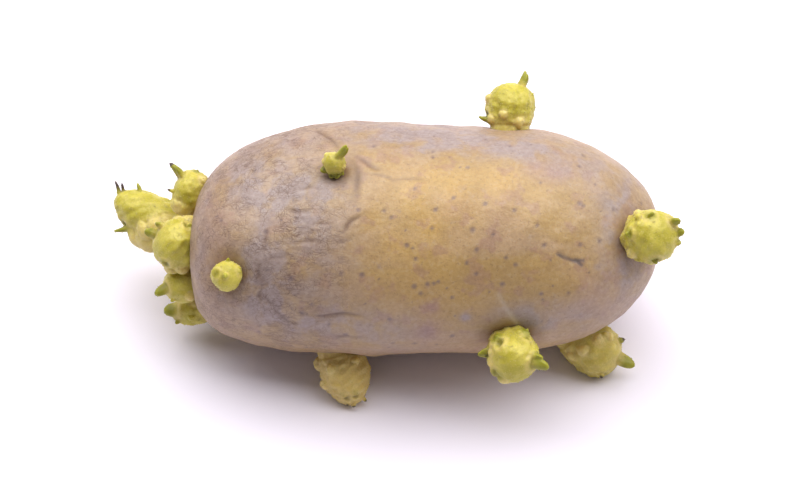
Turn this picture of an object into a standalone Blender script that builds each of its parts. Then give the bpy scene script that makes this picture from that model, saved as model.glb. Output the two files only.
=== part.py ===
"""A sprouting potato: one long blunt tuber on its belly, with short thick sprouts growing out of its eyes.

The shapes below are placed from the tuber's middle, and the parent empty lifts it until its flat spot is at
Z = 0. The crown end, at -X, carries a bunch of sprouts. The heel end, where the tuber hung on its stolon, is
at +X.
"""

import math
import random
from dataclasses import dataclass

import bmesh
import bpy
import numpy as np
from mathutils import Vector

# The tuber's own size, in metres
LENGTH = 0.1040
WIDTH = 0.0529
HEIGHT = 0.0508
HALF_SIZE = np.array((LENGTH, WIDTH, HEIGHT)) / 2

# How square the outline is: the power of a superellipse, 2 for an ellipse
CROWN_POWER = 3.6
HEEL_POWER = 2.3

# The crown end hangs a little towards the front and the ground
CROWN_DROOP = 0.0026
DROOP_POWER = 3.5

# The belly is cut flat this far in from where the round body without its relief would end
BELLY_FLAT = 0.00075
REST_HEIGHT = HEIGHT / 2 - BELLY_FLAT

# Slow swells all over the body
SWELL_HEIGHT = 0.00022
SWELL_WAVES = ((95, 120, 60, 0.4), (-150, 70, 110, 1.9), (60, -160, 140, 3.1))

# Places are given as seen from in front and above, at this slope: to the right, up the picture, and nearer
SLOPE = math.radians(52)
RIGHT = Vector((1, 0, 0))
UP = Vector((0, math.sin(SLOPE), math.cos(SLOPE)))
NEAR = Vector((0, -math.cos(SLOPE), math.sin(SLOPE)))

# How finely things are faceted
TUBER_SUBDIVISIONS = 5
STEM_SIDES = 11
STEM_RINGS = 7
LEAF_SIDES = 6
LEAF_RINGS = (0, 0.45, 0.85)
KNOB_SIDES = 6
KNOB_RINGS = 3
SMOOTH_BELOW = math.radians(60)

# A stem: its width at the root and where it is widest, as shares, and the height of its three lobes
NECK = 0.66
WIDEST = 0.46
LOBE_HEIGHT = 0.035

# Leaves from this share of the stem upwards are buds, thick blunt fingers; the others are thin pointed scales
BUD_FROM = 0.7
BUD_BLUNTNESS, BUD_THICKNESS = 4.5, 0.82
SCALE_BLUNTNESS, SCALE_THICKNESS = 2.0, 0.6

# A leaf starts at this share of the stem radius and this share of its width deeper, where it is wider
LEAF_ROOT = 0.6
LEAF_SUNK = 0.3
LEAF_FOOT = 1.2

# On its way out it narrows by a share of its width before its end rounds off, and curls up and inwards
LEAF_NARROWING = 0.3
LEAF_ROUNDING = 0.6
LEAF_CURL = 0.22
LEAF_CURL_INWARDS = 0.6

# How much of a knob's radius is sunk in the stem, and how far from its middle its first and last rings are
KNOB_SUNK = 0.25
KNOB_RING_LIFT = 0.6

# How far a stem bows outwards, as a share of its length
BOW = 0.1

# A sprout goes this deep below the skin before it is cut off, and stays this clear of it
ROOT_DEPTH = 0.004
CLEARANCE = 0.0003

# Sprouts that reach the ground end just above it
GROUND_GAP = 0.00008

# Sprouts whose tips are this near one another are kept clear of each other
BESIDE = 0.025

SKIN_COLOUR = (0.42, 0.27, 0.105, 1)
SPROUT_COLOUR = (0.53, 0.50, 0.10, 1)


@dataclass(frozen=True)
class Leaf:
    """A bud leaf or a scale leaf: how far up the stem it grows, as a share, where it points, and its size."""

    along: float
    toward: tuple
    length: float
    width: float


@dataclass(frozen=True)
class Knob:
    """A swelling where a root is about to break out."""

    along: float
    toward: tuple
    radius: float


@dataclass(frozen=True)
class Sprout:
    """A stem from its root on the skin to its blunt end, what grows on it, and the eye that it grows from."""

    name: str
    root: tuple
    tip: tuple
    girth: float
    power: float
    leaves: tuple
    knobs: tuple = ()
    small_knobs: int = 5
    eye_depth: float = 0.0010
    eye_radius: float = 0.0055


@dataclass(frozen=True)
class Eye:
    """A hollow in the skin with a raised brow on its heel side."""

    place: tuple
    depth: float
    radius: float
    brow: float = 0.0003


SPROUTS = (
    Sprout(
        "sprout_front_left",
        root=(-0.0413, -0.0062, 0.0192),
        tip=(-0.0417, -0.0080, 0.0242),
        girth=0.0065,
        power=2.6,
        leaves=(
            Leaf(0.97, (-0.2, 0.1, 1.0), 0.0012, 0.0015),
            Leaf(0.88, (-0.6, 0.3, 1.0), 0.0009, 0.0014),
            Leaf(0.45, (-1.0, 0.4, 0.5), 0.0008, 0.0015),
            Leaf(0.45, (1.0, 0.45, 0.3), 0.0011, 0.0015),
            Leaf(0.35, (0.1, 1.0, 0.3), 0.0013, 0.0013),
        ),
        small_knobs=4,
        eye_depth=0.0012,
        eye_radius=0.0048,
    ),
    Sprout(
        "sprout_upper",
        root=(-0.0201, 0.0161, 0.0204),
        tip=(-0.0199, 0.0166, 0.0254),
        girth=0.0047,
        power=2.4,
        leaves=(
            Leaf(0.85, (0.58, 0.55, 0.4), 0.0040, 0.0018),
            Leaf(0.70, (0.75, 0.5, 0.35), 0.0018, 0.0017),
            Leaf(0.40, (-0.5, 0.9, 0.2), 0.0009, 0.0017),
            Leaf(0.20, (-0.9, -0.45, 0.2), 0.0016, 0.0014),
            Leaf(0.20, (-0.1, -1.0, 0.2), 0.0017, 0.0022),
            Leaf(0.20, (0.6, -0.8, 0.15), 0.0011, 0.0013),
        ),
        small_knobs=0,
        eye_depth=0.0011,
        eye_radius=0.0044,
    ),
    Sprout(
        "sprout_top",
        root=(0.0185, 0.0252, -0.0010),
        tip=(0.0189, 0.0350, -0.0006),
        girth=0.0107,
        power=2.3,
        leaves=(
            Leaf(0.88, (0.46, 1.0, 0.0), 0.0027, 0.0020),
            Leaf(0.84, (0.62, 1.0, 0.1), 0.0020, 0.0018),
            Leaf(0.68, (-1.0, 0.4, 0.2), 0.0010, 0.0014),
            Leaf(0.60, (1.0, 0.35, 0.2), 0.0008, 0.0014),
            Leaf(0.35, (1.0, 0.1, 0.1), 0.0008, 0.0015),
            Leaf(0.08, (-1.0, 0.2, 0.2), 0.0040, 0.0014),
        ),
        knobs=(
            Knob(0.16, (-0.8, 0.1, 0.6), 0.0013),
            Knob(0.30, (-0.05, 0.1, 1.0), 0.0012),
            Knob(0.14, (0.5, 0.0, 0.9), 0.0012),
        ),
        small_knobs=4,
    ),
    Sprout(
        "sprout_heel",
        root=(0.0462, 0.0003, 0.0149),
        tip=(0.0512, 0.0008, 0.0232),
        girth=0.0113,
        power=2.6,
        leaves=(
            Leaf(0.80, (0.75, 0.35, 0.75), 0.0018, 0.0025),
            Leaf(0.74, (0.9, 0.08, 0.75), 0.0014, 0.0023),
            Leaf(0.66, (-0.05, 1.0, 1.0), 0.0012, 0.0022),
            Leaf(0.55, (0.1, -1.0, 0.5), 0.0013, 0.0022),
            Leaf(0.35, (-1.0, 0.1, 0.7), 0.0016, 0.0019),
        ),
        knobs=(
            Knob(0.22, (-0.7, -0.7, 0.3), 0.0013),
            Knob(0.25, (-0.3, 0.9, 0.2), 0.0012),
        ),
        small_knobs=5,
        eye_radius=0.0068,
    ),
    Sprout(
        "sprout_front_low",
        root=(0.0175, -0.0217, 0.0132),
        tip=(0.0198, -0.0283, 0.0218),
        girth=0.0104,
        power=2.8,
        leaves=(
            Leaf(0.80, (1.0, -0.1, 0.5), 0.0032, 0.0030),
            Leaf(0.72, (1.0, 0.15, 0.5), 0.0014, 0.0024),
            Leaf(0.85, (-0.5, -0.8, 0.7), 0.0009, 0.0018),
            Leaf(0.42, (0.4, 1.0, 0.3), 0.0016, 0.0018),
            Leaf(0.30, (-1.0, -0.05, 0.1), 0.0034, 0.0021),
            Leaf(0.35, (-0.7, 0.8, 0.3), 0.0012, 0.0018),
        ),
        knobs=(
            Knob(0.72, (-0.7, -0.8, 0.2), 0.0017),
            Knob(0.50, (-0.9, -0.35, 0.4), 0.0013),
            Knob(0.62, (-0.1, -1.0, 0.1), 0.0015),
            Knob(0.35, (-0.9, 0.3, 0.4), 0.0012),
        ),
        small_knobs=5,
        eye_radius=0.0066,
    ),
    Sprout(
        "sprout_heel_foot",
        root=(0.0326, -0.0209, -0.0050),
        tip=(0.0434, -0.0284, -0.0050),
        girth=0.0118,
        power=2.7,
        leaves=(
            Leaf(0.93, (1.0, -0.55, 0.35), 0.0028, 0.0025),
            Leaf(0.72, (1.0, 0.6, 0.4), 0.0012, 0.0016),
            Leaf(0.78, (-0.1, -1.0, 0.5), 0.0006, 0.0014),
        ),
        knobs=(
            Knob(0.40, (-0.2, 0.6, 0.9), 0.0014),
            Knob(0.28, (-0.7, 0.2, 0.8), 0.0014),
            Knob(0.20, (-0.9, -0.2, 0.6), 0.0013),
            Knob(0.55, (0.1, 0.9, 0.7), 0.0012),
        ),
        small_knobs=4,
        eye_radius=0.0062,
    ),
    Sprout(
        "sprout_front_foot",
        root=(-0.0198, -0.0258, -0.0005),
        tip=(-0.0160, -0.0372, -0.0012),
        girth=0.0114,
        power=1.75,
        leaves=(
            Leaf(0.93, (0.25, -1.0, 0.35), 0.0008, 0.0013),
            Leaf(0.88, (0.9, -0.8, 0.2), 0.0009, 0.0011),
            Leaf(0.88, (-0.2, -0.9, 0.7), 0.0007, 0.0011),
            Leaf(0.62, (0.2, 0.1, 1.0), 0.0006, 0.0016),
        ),
        knobs=(
            Knob(0.10, (-1.0, 0.1, 0.1), 0.0017),
            Knob(0.22, (-0.5, 0.3, 0.8), 0.0014),
            Knob(0.45, (-0.9, -0.2, 0.4), 0.0014),
        ),
        small_knobs=4,
        eye_radius=0.0062,
    ),
    Sprout(
        "sprout_crown_top",
        root=(-0.0472, 0.0114, -0.0020),
        tip=(-0.0566, 0.0122, -0.0010),
        girth=0.0094,
        power=2.6,
        leaves=(
            Leaf(0.85, (-0.55, 0.85, 0.2), 0.0029, 0.0021),
            Leaf(0.80, (-0.4, 0.85, 0.5), 0.0017, 0.0017),
            Leaf(0.92, (-1.0, 0.35, 0.3), 0.0009, 0.0011),
            Leaf(0.35, (0.2, 1.0, 0.3), 0.0010, 0.0017),
        ),
        knobs=(
            Knob(0.60, (-0.2, -0.9, 0.4), 0.0015),
            Knob(0.20, (0.3, 0.7, 0.7), 0.0012),
        ),
        small_knobs=3,
        eye_depth=0.0008,
    ),
    Sprout(
        "sprout_crown_long",
        root=(-0.0510, 0.0016, -0.0095),
        tip=(-0.0714, 0.0097, -0.0110),
        girth=0.0113,
        power=2.2,
        leaves=(
            Leaf(0.95, (-0.7, 0.75, 0.1), 0.0022, 0.0018),
            Leaf(0.92, (-0.5, 0.85, 0.4), 0.0016, 0.0013),
            Leaf(0.80, (-0.4, 0.9, 0.2), 0.0019, 0.0014),
            Leaf(0.66, (-1.0, -0.45, 0.2), 0.0033, 0.0019),
        ),
        knobs=(
            Knob(0.57, (-0.6, -1.0, 0.2), 0.0032),
            Knob(0.46, (-0.3, -0.9, 0.6), 0.0021),
            Knob(0.30, (-0.6, -0.9, 0.3), 0.0018),
            Knob(0.30, (0.2, 0.9, 0.6), 0.0014),
        ),
        small_knobs=4,
        eye_depth=0.0008,
    ),
    Sprout(
        "sprout_crown_middle",
        root=(-0.0512, 0.0006, 0.0034),
        tip=(-0.0593, 0.0000, 0.0078),
        girth=0.0112,
        power=2.6,
        leaves=(
            Leaf(0.85, (-1.0, 0.25, 0.35), 0.0022, 0.0021),
            Leaf(0.80, (-0.7, 0.75, 0.35), 0.0016, 0.0019),
            Leaf(0.60, (-0.8, -0.6, 0.5), 0.0009, 0.0020),
            Leaf(0.30, (0.5, 1.0, 0.4), 0.0011, 0.0018),
        ),
        knobs=(
            Knob(0.30, (0.3, 1.0, 0.5), 0.0014),
            Knob(0.35, (-0.3, 1.0, -0.1), 0.0019),
            Knob(0.48, (-0.75, 0.75, -0.2), 0.0021),
            Knob(0.46, (-1.0, 0.25, -0.4), 0.0020),
            Knob(0.42, (-1.0, -0.2, -0.5), 0.0025),
            Knob(0.45, (-0.8, -0.6, -0.2), 0.0020),
            Knob(0.35, (-0.4, -0.9, 0.1), 0.0017),
            Knob(0.25, (0.3, -1.0, 0.4), 0.0014),
        ),
        small_knobs=3,
        eye_depth=0.0008,
    ),
    Sprout(
        "sprout_crown_low",
        root=(-0.0512, -0.0064, 0.0000),
        tip=(-0.0584, -0.0124, 0.0005),
        girth=0.0082,
        power=2.3,
        leaves=(
            Leaf(0.80, (-1.0, -0.5, 0.2), 0.0022, 0.0022),
            Leaf(0.70, (-0.9, -0.8, 0.3), 0.0009, 0.0014),
        ),
        knobs=(
            Knob(0.35, (0.0, -0.9, 0.6), 0.0013),
            Knob(0.30, (-0.3, 1.0, 0.3), 0.0012),
        ),
        small_knobs=3,
        eye_depth=0.0006,
    ),
    Sprout(
        "sprout_crown_foot",
        root=(-0.0498, -0.0136, -0.0072),
        tip=(-0.0582, -0.0168, -0.0082),
        girth=0.0068,
        power=2.2,
        leaves=(
            Leaf(0.80, (-1.0, 0.0, 0.2), 0.0019, 0.0030),
            Leaf(0.75, (-0.6, -0.8, 0.5), 0.0009, 0.0013),
        ),
        knobs=(Knob(0.30, (0.2, 0.5, 0.9), 0.0012),),
        small_knobs=3,
        eye_depth=0.0006,
        eye_radius=0.0042,
    ),
    Sprout(
        "sprout_back_upper",
        root=(-0.0140, 0.0150, -0.0210),
        tip=(-0.0150, 0.0179, -0.0266),
        girth=0.0060,
        power=2.4,
        leaves=(
            Leaf(0.90, (-0.3, 0.5, -1.0), 0.0022, 0.0018),
            Leaf(0.45, (1.0, 0.3, -0.4), 0.0011, 0.0016),
            Leaf(0.40, (-0.9, -0.4, -0.3), 0.0011, 0.0016),
        ),
        small_knobs=5,
        eye_radius=0.0048,
    ),
    Sprout(
        "sprout_back_low",
        root=(0.0262, 0.0050, -0.0235),
        tip=(0.0280, 0.0068, -0.0306),
        girth=0.0068,
        power=2.5,
        leaves=(
            Leaf(0.90, (0.4, 0.5, -1.0), 0.0022, 0.0019),
            Leaf(0.86, (0.1, 0.9, -0.8), 0.0016, 0.0015),
            Leaf(0.40, (-1.0, 0.3, -0.3), 0.0012, 0.0017),
        ),
        small_knobs=5,
        eye_radius=0.0050,
    ),
)

# Eyes that have not sprouted: on the back, the top and the belly's sides
SLEEPING_EYES = (
    Eye((0.0020, 0.0225, -0.0120), 0.0010, 0.0038, 0.0005),
    Eye((-0.0330, 0.0050, -0.0215), 0.0010, 0.0036, 0.0005),
    Eye((0.0420, 0.0100, -0.0120), 0.0009, 0.0034, 0.0004),
    Eye((0.0060, -0.0120, -0.0230), 0.0008, 0.0034, 0.0004),
)

# Broad hollows where the flesh has shrunk: place, depth and radius
HOLLOWS = (
    ((0.0090, 0.0245, 0.0065), 0.0007, 0.0100),
    ((-0.0330, 0.0075, 0.0200), 0.0006, 0.0090),
    ((-0.0370, -0.0070, 0.0195), 0.0007, 0.0060),
    ((0.0300, 0.0160, 0.0140), -0.0004, 0.0120),
    ((-0.0100, 0.0060, 0.0250), -0.0003, 0.0100),
    ((0.0150, -0.0060, -0.0250), 0.0005, 0.0110),
)


def as_vector(place):
    """A place or a direction given as right, up and near, in the tuber's own axes."""
    right, up, near = place
    return RIGHT * right + UP * up + NEAR * near


def round_body(directions):
    """Points of the plain tuber, without its relief, in unit directions from its middle."""
    crownward = -directions[:, 0]
    across = np.sqrt(np.clip(1 - crownward**2, 0, 1))
    power = (CROWN_POWER + HEEL_POWER) / 2 + (CROWN_POWER - HEEL_POWER) / 2 * crownward
    reach = (np.abs(crownward) ** power + across**power) ** (-1 / power)
    points = directions * reach[:, None] * HALF_SIZE
    towards_crown = np.clip(-points[:, 0] / HALF_SIZE[0], 0, 1)
    return points - np.outer(CROWN_DROOP * towards_crown**DROOP_POWER, np.array(UP))


def outward(directions):
    """Unit vectors that point away from the skin, from the slope of the superellipse."""
    crownward = -directions[:, 0]
    across = np.sqrt(np.clip(1 - crownward**2, 1e-9, 1))
    power = (CROWN_POWER + HEEL_POWER) / 2 + (CROWN_POWER - HEEL_POWER) / 2 * crownward
    slopes = np.empty_like(directions)
    slopes[:, 0] = np.sign(directions[:, 0]) * np.abs(crownward) ** (power - 1) / HALF_SIZE[0]
    for axis in (1, 2):
        slopes[:, axis] = across ** (power - 2) * directions[:, axis] / HALF_SIZE[axis]
    return slopes / np.linalg.norm(slopes, axis=1)[:, None]


def direction_of(place):
    """The unit direction, in the ball that the tuber is stretched from, that leads towards a place."""
    spot = np.array(as_vector(place)) / HALF_SIZE
    return (spot / np.linalg.norm(spot))[None, :]


def hollow(points, middle, depth, radius):
    distance = np.linalg.norm(points - middle, axis=1)
    return -depth * np.exp(-((distance / radius) ** 2))


def eye_relief(points, eye):
    """A hollow, and a crescent of raised skin on the side that faces the heel."""
    direction = direction_of(eye.place)
    middle = round_body(direction)[0]
    normal = outward(direction)[0]
    heelward = np.array((1.0, 0.0, 0.0)) - normal[0] * normal
    heelward /= np.linalg.norm(heelward)
    offset = points - middle
    distance = np.linalg.norm(offset, axis=1)
    facing = np.clip(offset @ heelward / np.maximum(distance, 1e-6), 0, 1)
    crest = np.exp(-(((distance - 1.25 * eye.radius) / (0.35 * eye.radius)) ** 2))
    return hollow(points, middle, eye.depth, eye.radius) + eye.brow * crest * facing**2


def skin(directions):
    """Points of the tuber's skin in these directions."""
    points = round_body(directions)
    height = np.zeros(len(points))
    for x, y, z, phase in SWELL_WAVES:
        height += SWELL_HEIGHT * np.sin(points @ np.array((x, y, z)) + phase)
    for place, depth, radius in HOLLOWS:
        height += hollow(points, round_body(direction_of(place))[0], depth, radius)
    for sprout in SPROUTS:
        height += eye_relief(points, Eye(sprout.root, sprout.eye_depth, sprout.eye_radius))
    for eye in SLEEPING_EYES:
        height += eye_relief(points, eye)
    return points + outward(directions) * height[:, None]


def new_material(name, colour, roughness):
    material = bpy.data.materials.new(name)
    material.use_nodes = True
    shader = material.node_tree.nodes["Principled BSDF"]
    shader.inputs["Base Color"].default_value = colour
    shader.inputs["Roughness"].default_value = roughness
    shader.inputs["Metallic"].default_value = 0
    material.diffuse_color = colour
    return material


def new_object(name, mesh, parent, material):
    thing = bpy.data.objects.new(name, mesh)
    bpy.context.scene.collection.objects.link(thing)
    thing.parent = parent
    mesh.materials.append(material)
    return thing


def tuber_mesh(grown_by=0.0):
    """The skin as a closed mesh, cut flat under the belly, or the same shape grown outwards all over."""
    shape = bmesh.new()
    bmesh.ops.create_icosphere(shape, subdivisions=TUBER_SUBDIVISIONS, radius=1)
    directions = np.array([v.co for v in shape.verts])
    directions /= np.linalg.norm(directions, axis=1)[:, None]
    points = skin(directions) + outward(directions) * grown_by
    for vertex, point in zip(shape.verts, points):
        vertex.co = point
    whole = list(shape.verts) + list(shape.edges) + list(shape.faces)
    floor = (0, 0, -REST_HEIGHT - grown_by)
    cut = bmesh.ops.bisect_plane(shape, geom=whole, plane_co=floor, plane_no=(0, 0, -1), clear_outer=True)
    rim = [part for part in cut["geom_cut"] if isinstance(part, bmesh.types.BMEdge)]
    bmesh.ops.contextual_create(shape, geom=rim)
    bmesh.ops.recalc_face_normals(shape, faces=shape.faces)
    mesh = bpy.data.meshes.new("tuber")
    shape.to_mesh(mesh)
    shape.free()
    mesh.shade_smooth()
    return mesh


def stem_width(share, power):
    """The stem's half width as a share of its widest: a narrower neck, a belly, and an end that closes."""
    if share < WIDEST:
        return NECK + (1 - NECK) * math.sqrt(1 - ((WIDEST - max(share, 0)) / WIDEST) ** 2)
    return math.sqrt(max(0, 1 - ((share - WIDEST) / (1 - WIDEST)) ** power))


class Stem:
    """The middle line of a sprout: it bows outwards a little between its root on the skin and its tip."""

    def __init__(self, sprout):
        direction = direction_of(sprout.root)
        self.root = Vector(round_body(direction)[0])
        self.tip = as_vector(sprout.tip)
        self.length = (self.tip - self.root).length
        bow = Vector(outward(direction)[0]) * self.length * BOW
        self.bend = self.root.lerp(self.tip, 0.4) + bow
        self.half_girth = sprout.girth / 2
        self.power = sprout.power

    def point(self, share):
        if share < 0:
            return self.root + (self.bend - self.root) * 2 * share
        return self.root.lerp(self.bend, share).lerp(self.bend.lerp(self.tip, share), share)

    def tangent(self, share):
        return (self.point(share + 0.01) - self.point(share - 0.01)).normalized()

    def radius(self, share):
        return self.half_girth * stem_width(share, self.power)

    def side(self, share, direction):
        """The unit vector out of the stem, at a right angle to it, that faces a direction."""
        along = self.tangent(share)
        out = direction - along * direction.dot(along)
        return out.normalized() if out.length > 0.05 * direction.length else along.orthogonal().normalized()


def tube_mesh(name, start, rings, end):
    """A closed mesh through rings of points, with a point at each end."""
    shape = bmesh.new()
    first, last = shape.verts.new(start), shape.verts.new(end)
    loops = [[shape.verts.new(point) for point in ring] for ring in rings]
    count = len(loops[0])
    for i in range(count):
        j = (i + 1) % count
        shape.faces.new((first, loops[0][j], loops[0][i]))
        shape.faces.new((last, loops[-1][i], loops[-1][j]))
        for low, high in zip(loops, loops[1:]):
            shape.faces.new((low[i], low[j], high[j], high[i]))
    bmesh.ops.recalc_face_normals(shape, faces=shape.faces)
    mesh = bpy.data.meshes.new(name)
    shape.to_mesh(mesh)
    shape.free()
    return mesh


def stem_mesh(stem):
    """The swollen stem, with three soft lobes that turn slowly round it."""
    first = -ROOT_DEPTH / stem.length
    shares = [first]
    shares += [math.sin(math.pi / 2 * i / STEM_RINGS) for i in range(STEM_RINGS)]
    rings = []
    for share in shares:
        middle, along = stem.point(share), stem.tangent(share)
        across = along.cross(Vector((0.31, 0.52, 0.79))).normalized()
        over = along.cross(across)
        ring = []
        for i in range(STEM_SIDES):
            angle = math.tau * i / STEM_SIDES
            lobes = 1 + LOBE_HEIGHT * math.sin(3 * angle + 4 * share)
            reach = stem.radius(share) * lobes
            ring.append(middle + (across * math.cos(angle) + over * math.sin(angle)) * reach)
        rings.append(ring)
    return tube_mesh("stem", stem.point(first), rings, stem.tip)


def leaf_mesh(stem, leaf):
    """A bud or a scale leaf that stands out of the stem and curls in towards its end."""
    toward = as_vector(leaf.toward).normalized()
    out = stem.side(leaf.along, toward)
    root = stem.point(leaf.along) + out * stem.radius(leaf.along) * LEAF_ROOT
    reach = stem.radius(leaf.along) * (1 - LEAF_ROOT) + leaf.length
    curl = (stem.tangent(leaf.along) - out * LEAF_CURL_INWARDS) * leaf.length * LEAF_CURL
    around = stem.tangent(leaf.along).cross(out)
    wide = (around - toward * around.dot(toward)).normalized()
    thick = toward.cross(wide).normalized()
    bluntness, thickness = SCALE_BLUNTNESS, SCALE_THICKNESS
    if leaf.along >= BUD_FROM:
        bluntness, thickness = BUD_BLUNTNESS, BUD_THICKNESS
    rings = []
    for share in LEAF_RINGS:
        middle = root + toward * reach * share + curl * share**2
        half = leaf.width / 2 * (LEAF_FOOT - LEAF_NARROWING * share) * (1 - share**bluntness) ** LEAF_ROUNDING
        ring = []
        for k in range(LEAF_SIDES):
            angle = math.tau * k / LEAF_SIDES
            ring.append(middle + wide * half * math.cos(angle) + thick * half * thickness * math.sin(angle))
        rings.append(ring)
    return tube_mesh("leaf", root - toward * leaf.width * LEAF_SUNK, rings, root + toward * reach + curl)


def knob_mesh(stem, knob):
    """A blunt dome with its foot sunk in the stem."""
    toward = as_vector(knob.toward).normalized()
    out = stem.side(knob.along, toward)
    middle = stem.point(knob.along) + out * (stem.radius(knob.along) - KNOB_SUNK * knob.radius)
    across = out.orthogonal().normalized()
    over = out.cross(across)
    rings = []
    for i in range(KNOB_RINGS):
        lift = KNOB_RING_LIFT * (2 * i / (KNOB_RINGS - 1) - 1)
        reach = knob.radius * math.sqrt(1 - lift**2)
        ring = []
        for k in range(KNOB_SIDES):
            angle = math.tau * (k + 0.5 * i) / KNOB_SIDES
            spoke = across * math.cos(angle) + over * math.sin(angle)
            ring.append(middle + out * knob.radius * lift + spoke * reach)
        rings.append(ring)
    return tube_mesh("knob", middle - out * knob.radius, rings, middle + out * knob.radius)


def scattered_knobs(sprout):
    """Small knobs round the lower part of the stem, at even steps with a seeded shake."""
    shake = random.Random(sprout.name)
    turn = shake.uniform(0, math.tau)
    knobs = []
    for i in range(sprout.small_knobs):
        angle = turn + math.tau * i / sprout.small_knobs + shake.uniform(-0.4, 0.4)
        toward = (math.cos(angle), math.sin(angle) * 0.8, math.sin(angle + 0.9))
        knobs.append(Knob(shake.uniform(0.12, 0.5), toward, shake.uniform(0.0007, 0.0011)))
    return knobs


def apply_modifiers(thing):
    """Replaces an object's mesh by what its modifiers make of it."""
    graph = bpy.context.evaluated_depsgraph_get()
    finished = bpy.data.meshes.new_from_object(thing.evaluated_get(graph))
    thing.modifiers.clear()
    thing.data = finished


def combine(thing, operation, meshes):
    """Joins solids to an object, or cuts them out of it, by one Boolean, and removes them."""
    gathered = bpy.data.collections.new("others for " + thing.name)
    bpy.context.scene.collection.children.link(gathered)
    for mesh in meshes:
        other = bpy.data.objects.new(mesh.name, mesh)
        other.parent = thing.parent
        gathered.objects.link(other)
    boolean = thing.modifiers.new(operation.lower(), "BOOLEAN")
    boolean.operation = operation
    boolean.solver = "MANIFOLD"
    boolean.operand_type = "COLLECTION"
    boolean.collection = gathered
    bpy.context.view_layer.update()
    apply_modifiers(thing)
    for other in list(gathered.objects):
        bpy.data.objects.remove(other)
    bpy.data.collections.remove(gathered)


def without_crumbs(mesh):
    """Keeps the largest of the loose pieces that a cut has left."""
    shape = bmesh.new()
    shape.from_mesh(mesh)
    left, pieces = set(shape.verts), []
    while left:
        piece, waiting = set(), [left.pop()]
        while waiting:
            vertex = waiting.pop()
            piece.add(vertex)
            near = {edge.other_vert(vertex) for edge in vertex.link_edges} & left
            left -= near
            waiting.extend(near)
        pieces.append(piece)
    largest = max(pieces, key=len)
    crumbs = [v for v in shape.verts if v not in largest]
    bmesh.ops.delete(shape, geom=crumbs, context="VERTS")
    shape.to_mesh(mesh)
    shape.free()


def grown(mesh):
    """A copy of a solid, swollen by the clearance."""
    shape = bmesh.new()
    shape.from_mesh(mesh)
    shape.normal_update()
    places = [v.co + v.normal * CLEARANCE for v in shape.verts]
    for vertex, place in zip(shape.verts, places):
        vertex.co = place
    copy = bpy.data.meshes.new(mesh.name)
    shape.to_mesh(copy)
    shape.free()
    return copy


def ground_mesh():
    """A slab whose top is just above the ground that the potato lies on."""
    shape = bmesh.new()
    bmesh.ops.create_cube(shape, size=2 * LENGTH)
    bmesh.ops.translate(shape, vec=(0, 0, -LENGTH - REST_HEIGHT + GROUND_GAP), verts=shape.verts)
    mesh = bpy.data.meshes.new("ground")
    shape.to_mesh(mesh)
    shape.free()
    return mesh


def grow_sprout(sprout, parent, material, earlier):
    """One sprout as one solid, clear of the skin, of the ground and of the sprouts beside it."""
    stem = Stem(sprout)
    body = stem_mesh(stem)
    parts = [leaf_mesh(stem, leaf) for leaf in sprout.leaves]
    parts += [knob_mesh(stem, knob) for knob in (*sprout.knobs, *scattered_knobs(sprout))]
    swollen = [grown(mesh) for mesh in (body, *parts)]
    beside = [mesh for other, solids in earlier if (other.tip - stem.tip).length < BESIDE for mesh in solids]
    thing = new_object(sprout.name, body, parent, material)
    combine(thing, "UNION", parts)
    combine(thing, "DIFFERENCE", [tuber_mesh(CLEARANCE), ground_mesh(), *beside])
    without_crumbs(thing.data)
    thing.data.shade_smooth()
    thing.data.set_sharp_from_angle(angle=SMOOTH_BELOW)
    earlier.append((stem, swollen))


def stand_in_the_middle(parent):
    """Moves everything sideways so that the middle of its outline is at the origin."""
    bpy.context.view_layer.update()
    corners = [o.matrix_world @ Vector(c) for o in bpy.data.objects if o.type == "MESH" for c in o.bound_box]
    for axis in (0, 1):
        places = [corner[axis] for corner in corners]
        parent.location[axis] -= (min(places) + max(places)) / 2
    bpy.context.view_layer.update()


def main():
    for old in list(bpy.data.objects):
        bpy.data.objects.remove(old)
    potato = bpy.data.objects.new("potato", None)
    potato.location = (0, 0, REST_HEIGHT)
    bpy.context.scene.collection.objects.link(potato)

    skin_finish = new_material("skin", SKIN_COLOUR, 0.5)
    sprout_finish = new_material("sprout", SPROUT_COLOUR, 0.6)
    new_object("tuber", tuber_mesh(), potato, skin_finish)

    earlier = []
    for sprout in SPROUTS:
        grow_sprout(sprout, potato, sprout_finish, earlier)
    stand_in_the_middle(potato)


main()
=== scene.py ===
import math
import random

import bmesh
import bpy
import numpy as np
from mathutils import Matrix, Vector


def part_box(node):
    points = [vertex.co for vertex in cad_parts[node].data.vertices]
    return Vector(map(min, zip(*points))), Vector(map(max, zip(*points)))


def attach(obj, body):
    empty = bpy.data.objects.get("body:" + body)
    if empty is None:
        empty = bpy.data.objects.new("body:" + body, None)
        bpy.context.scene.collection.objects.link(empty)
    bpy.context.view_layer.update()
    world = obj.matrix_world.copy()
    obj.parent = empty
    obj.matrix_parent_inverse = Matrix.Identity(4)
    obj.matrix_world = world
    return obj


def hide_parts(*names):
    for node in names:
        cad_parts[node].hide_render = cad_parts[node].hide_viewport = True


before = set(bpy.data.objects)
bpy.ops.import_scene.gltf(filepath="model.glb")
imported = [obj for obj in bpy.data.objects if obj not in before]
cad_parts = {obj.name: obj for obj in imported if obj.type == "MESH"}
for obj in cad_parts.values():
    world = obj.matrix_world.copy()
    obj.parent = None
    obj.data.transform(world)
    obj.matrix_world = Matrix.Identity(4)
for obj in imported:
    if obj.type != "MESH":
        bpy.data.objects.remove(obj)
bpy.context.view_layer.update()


# The tuber: one swollen underground stem with a thin corky skin. It grew as one piece, long and blunt, and
# its skin has slackened into folds round the sprouted eyes and over the crown end. The flat spot that it lies
# on is under the belly.

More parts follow.
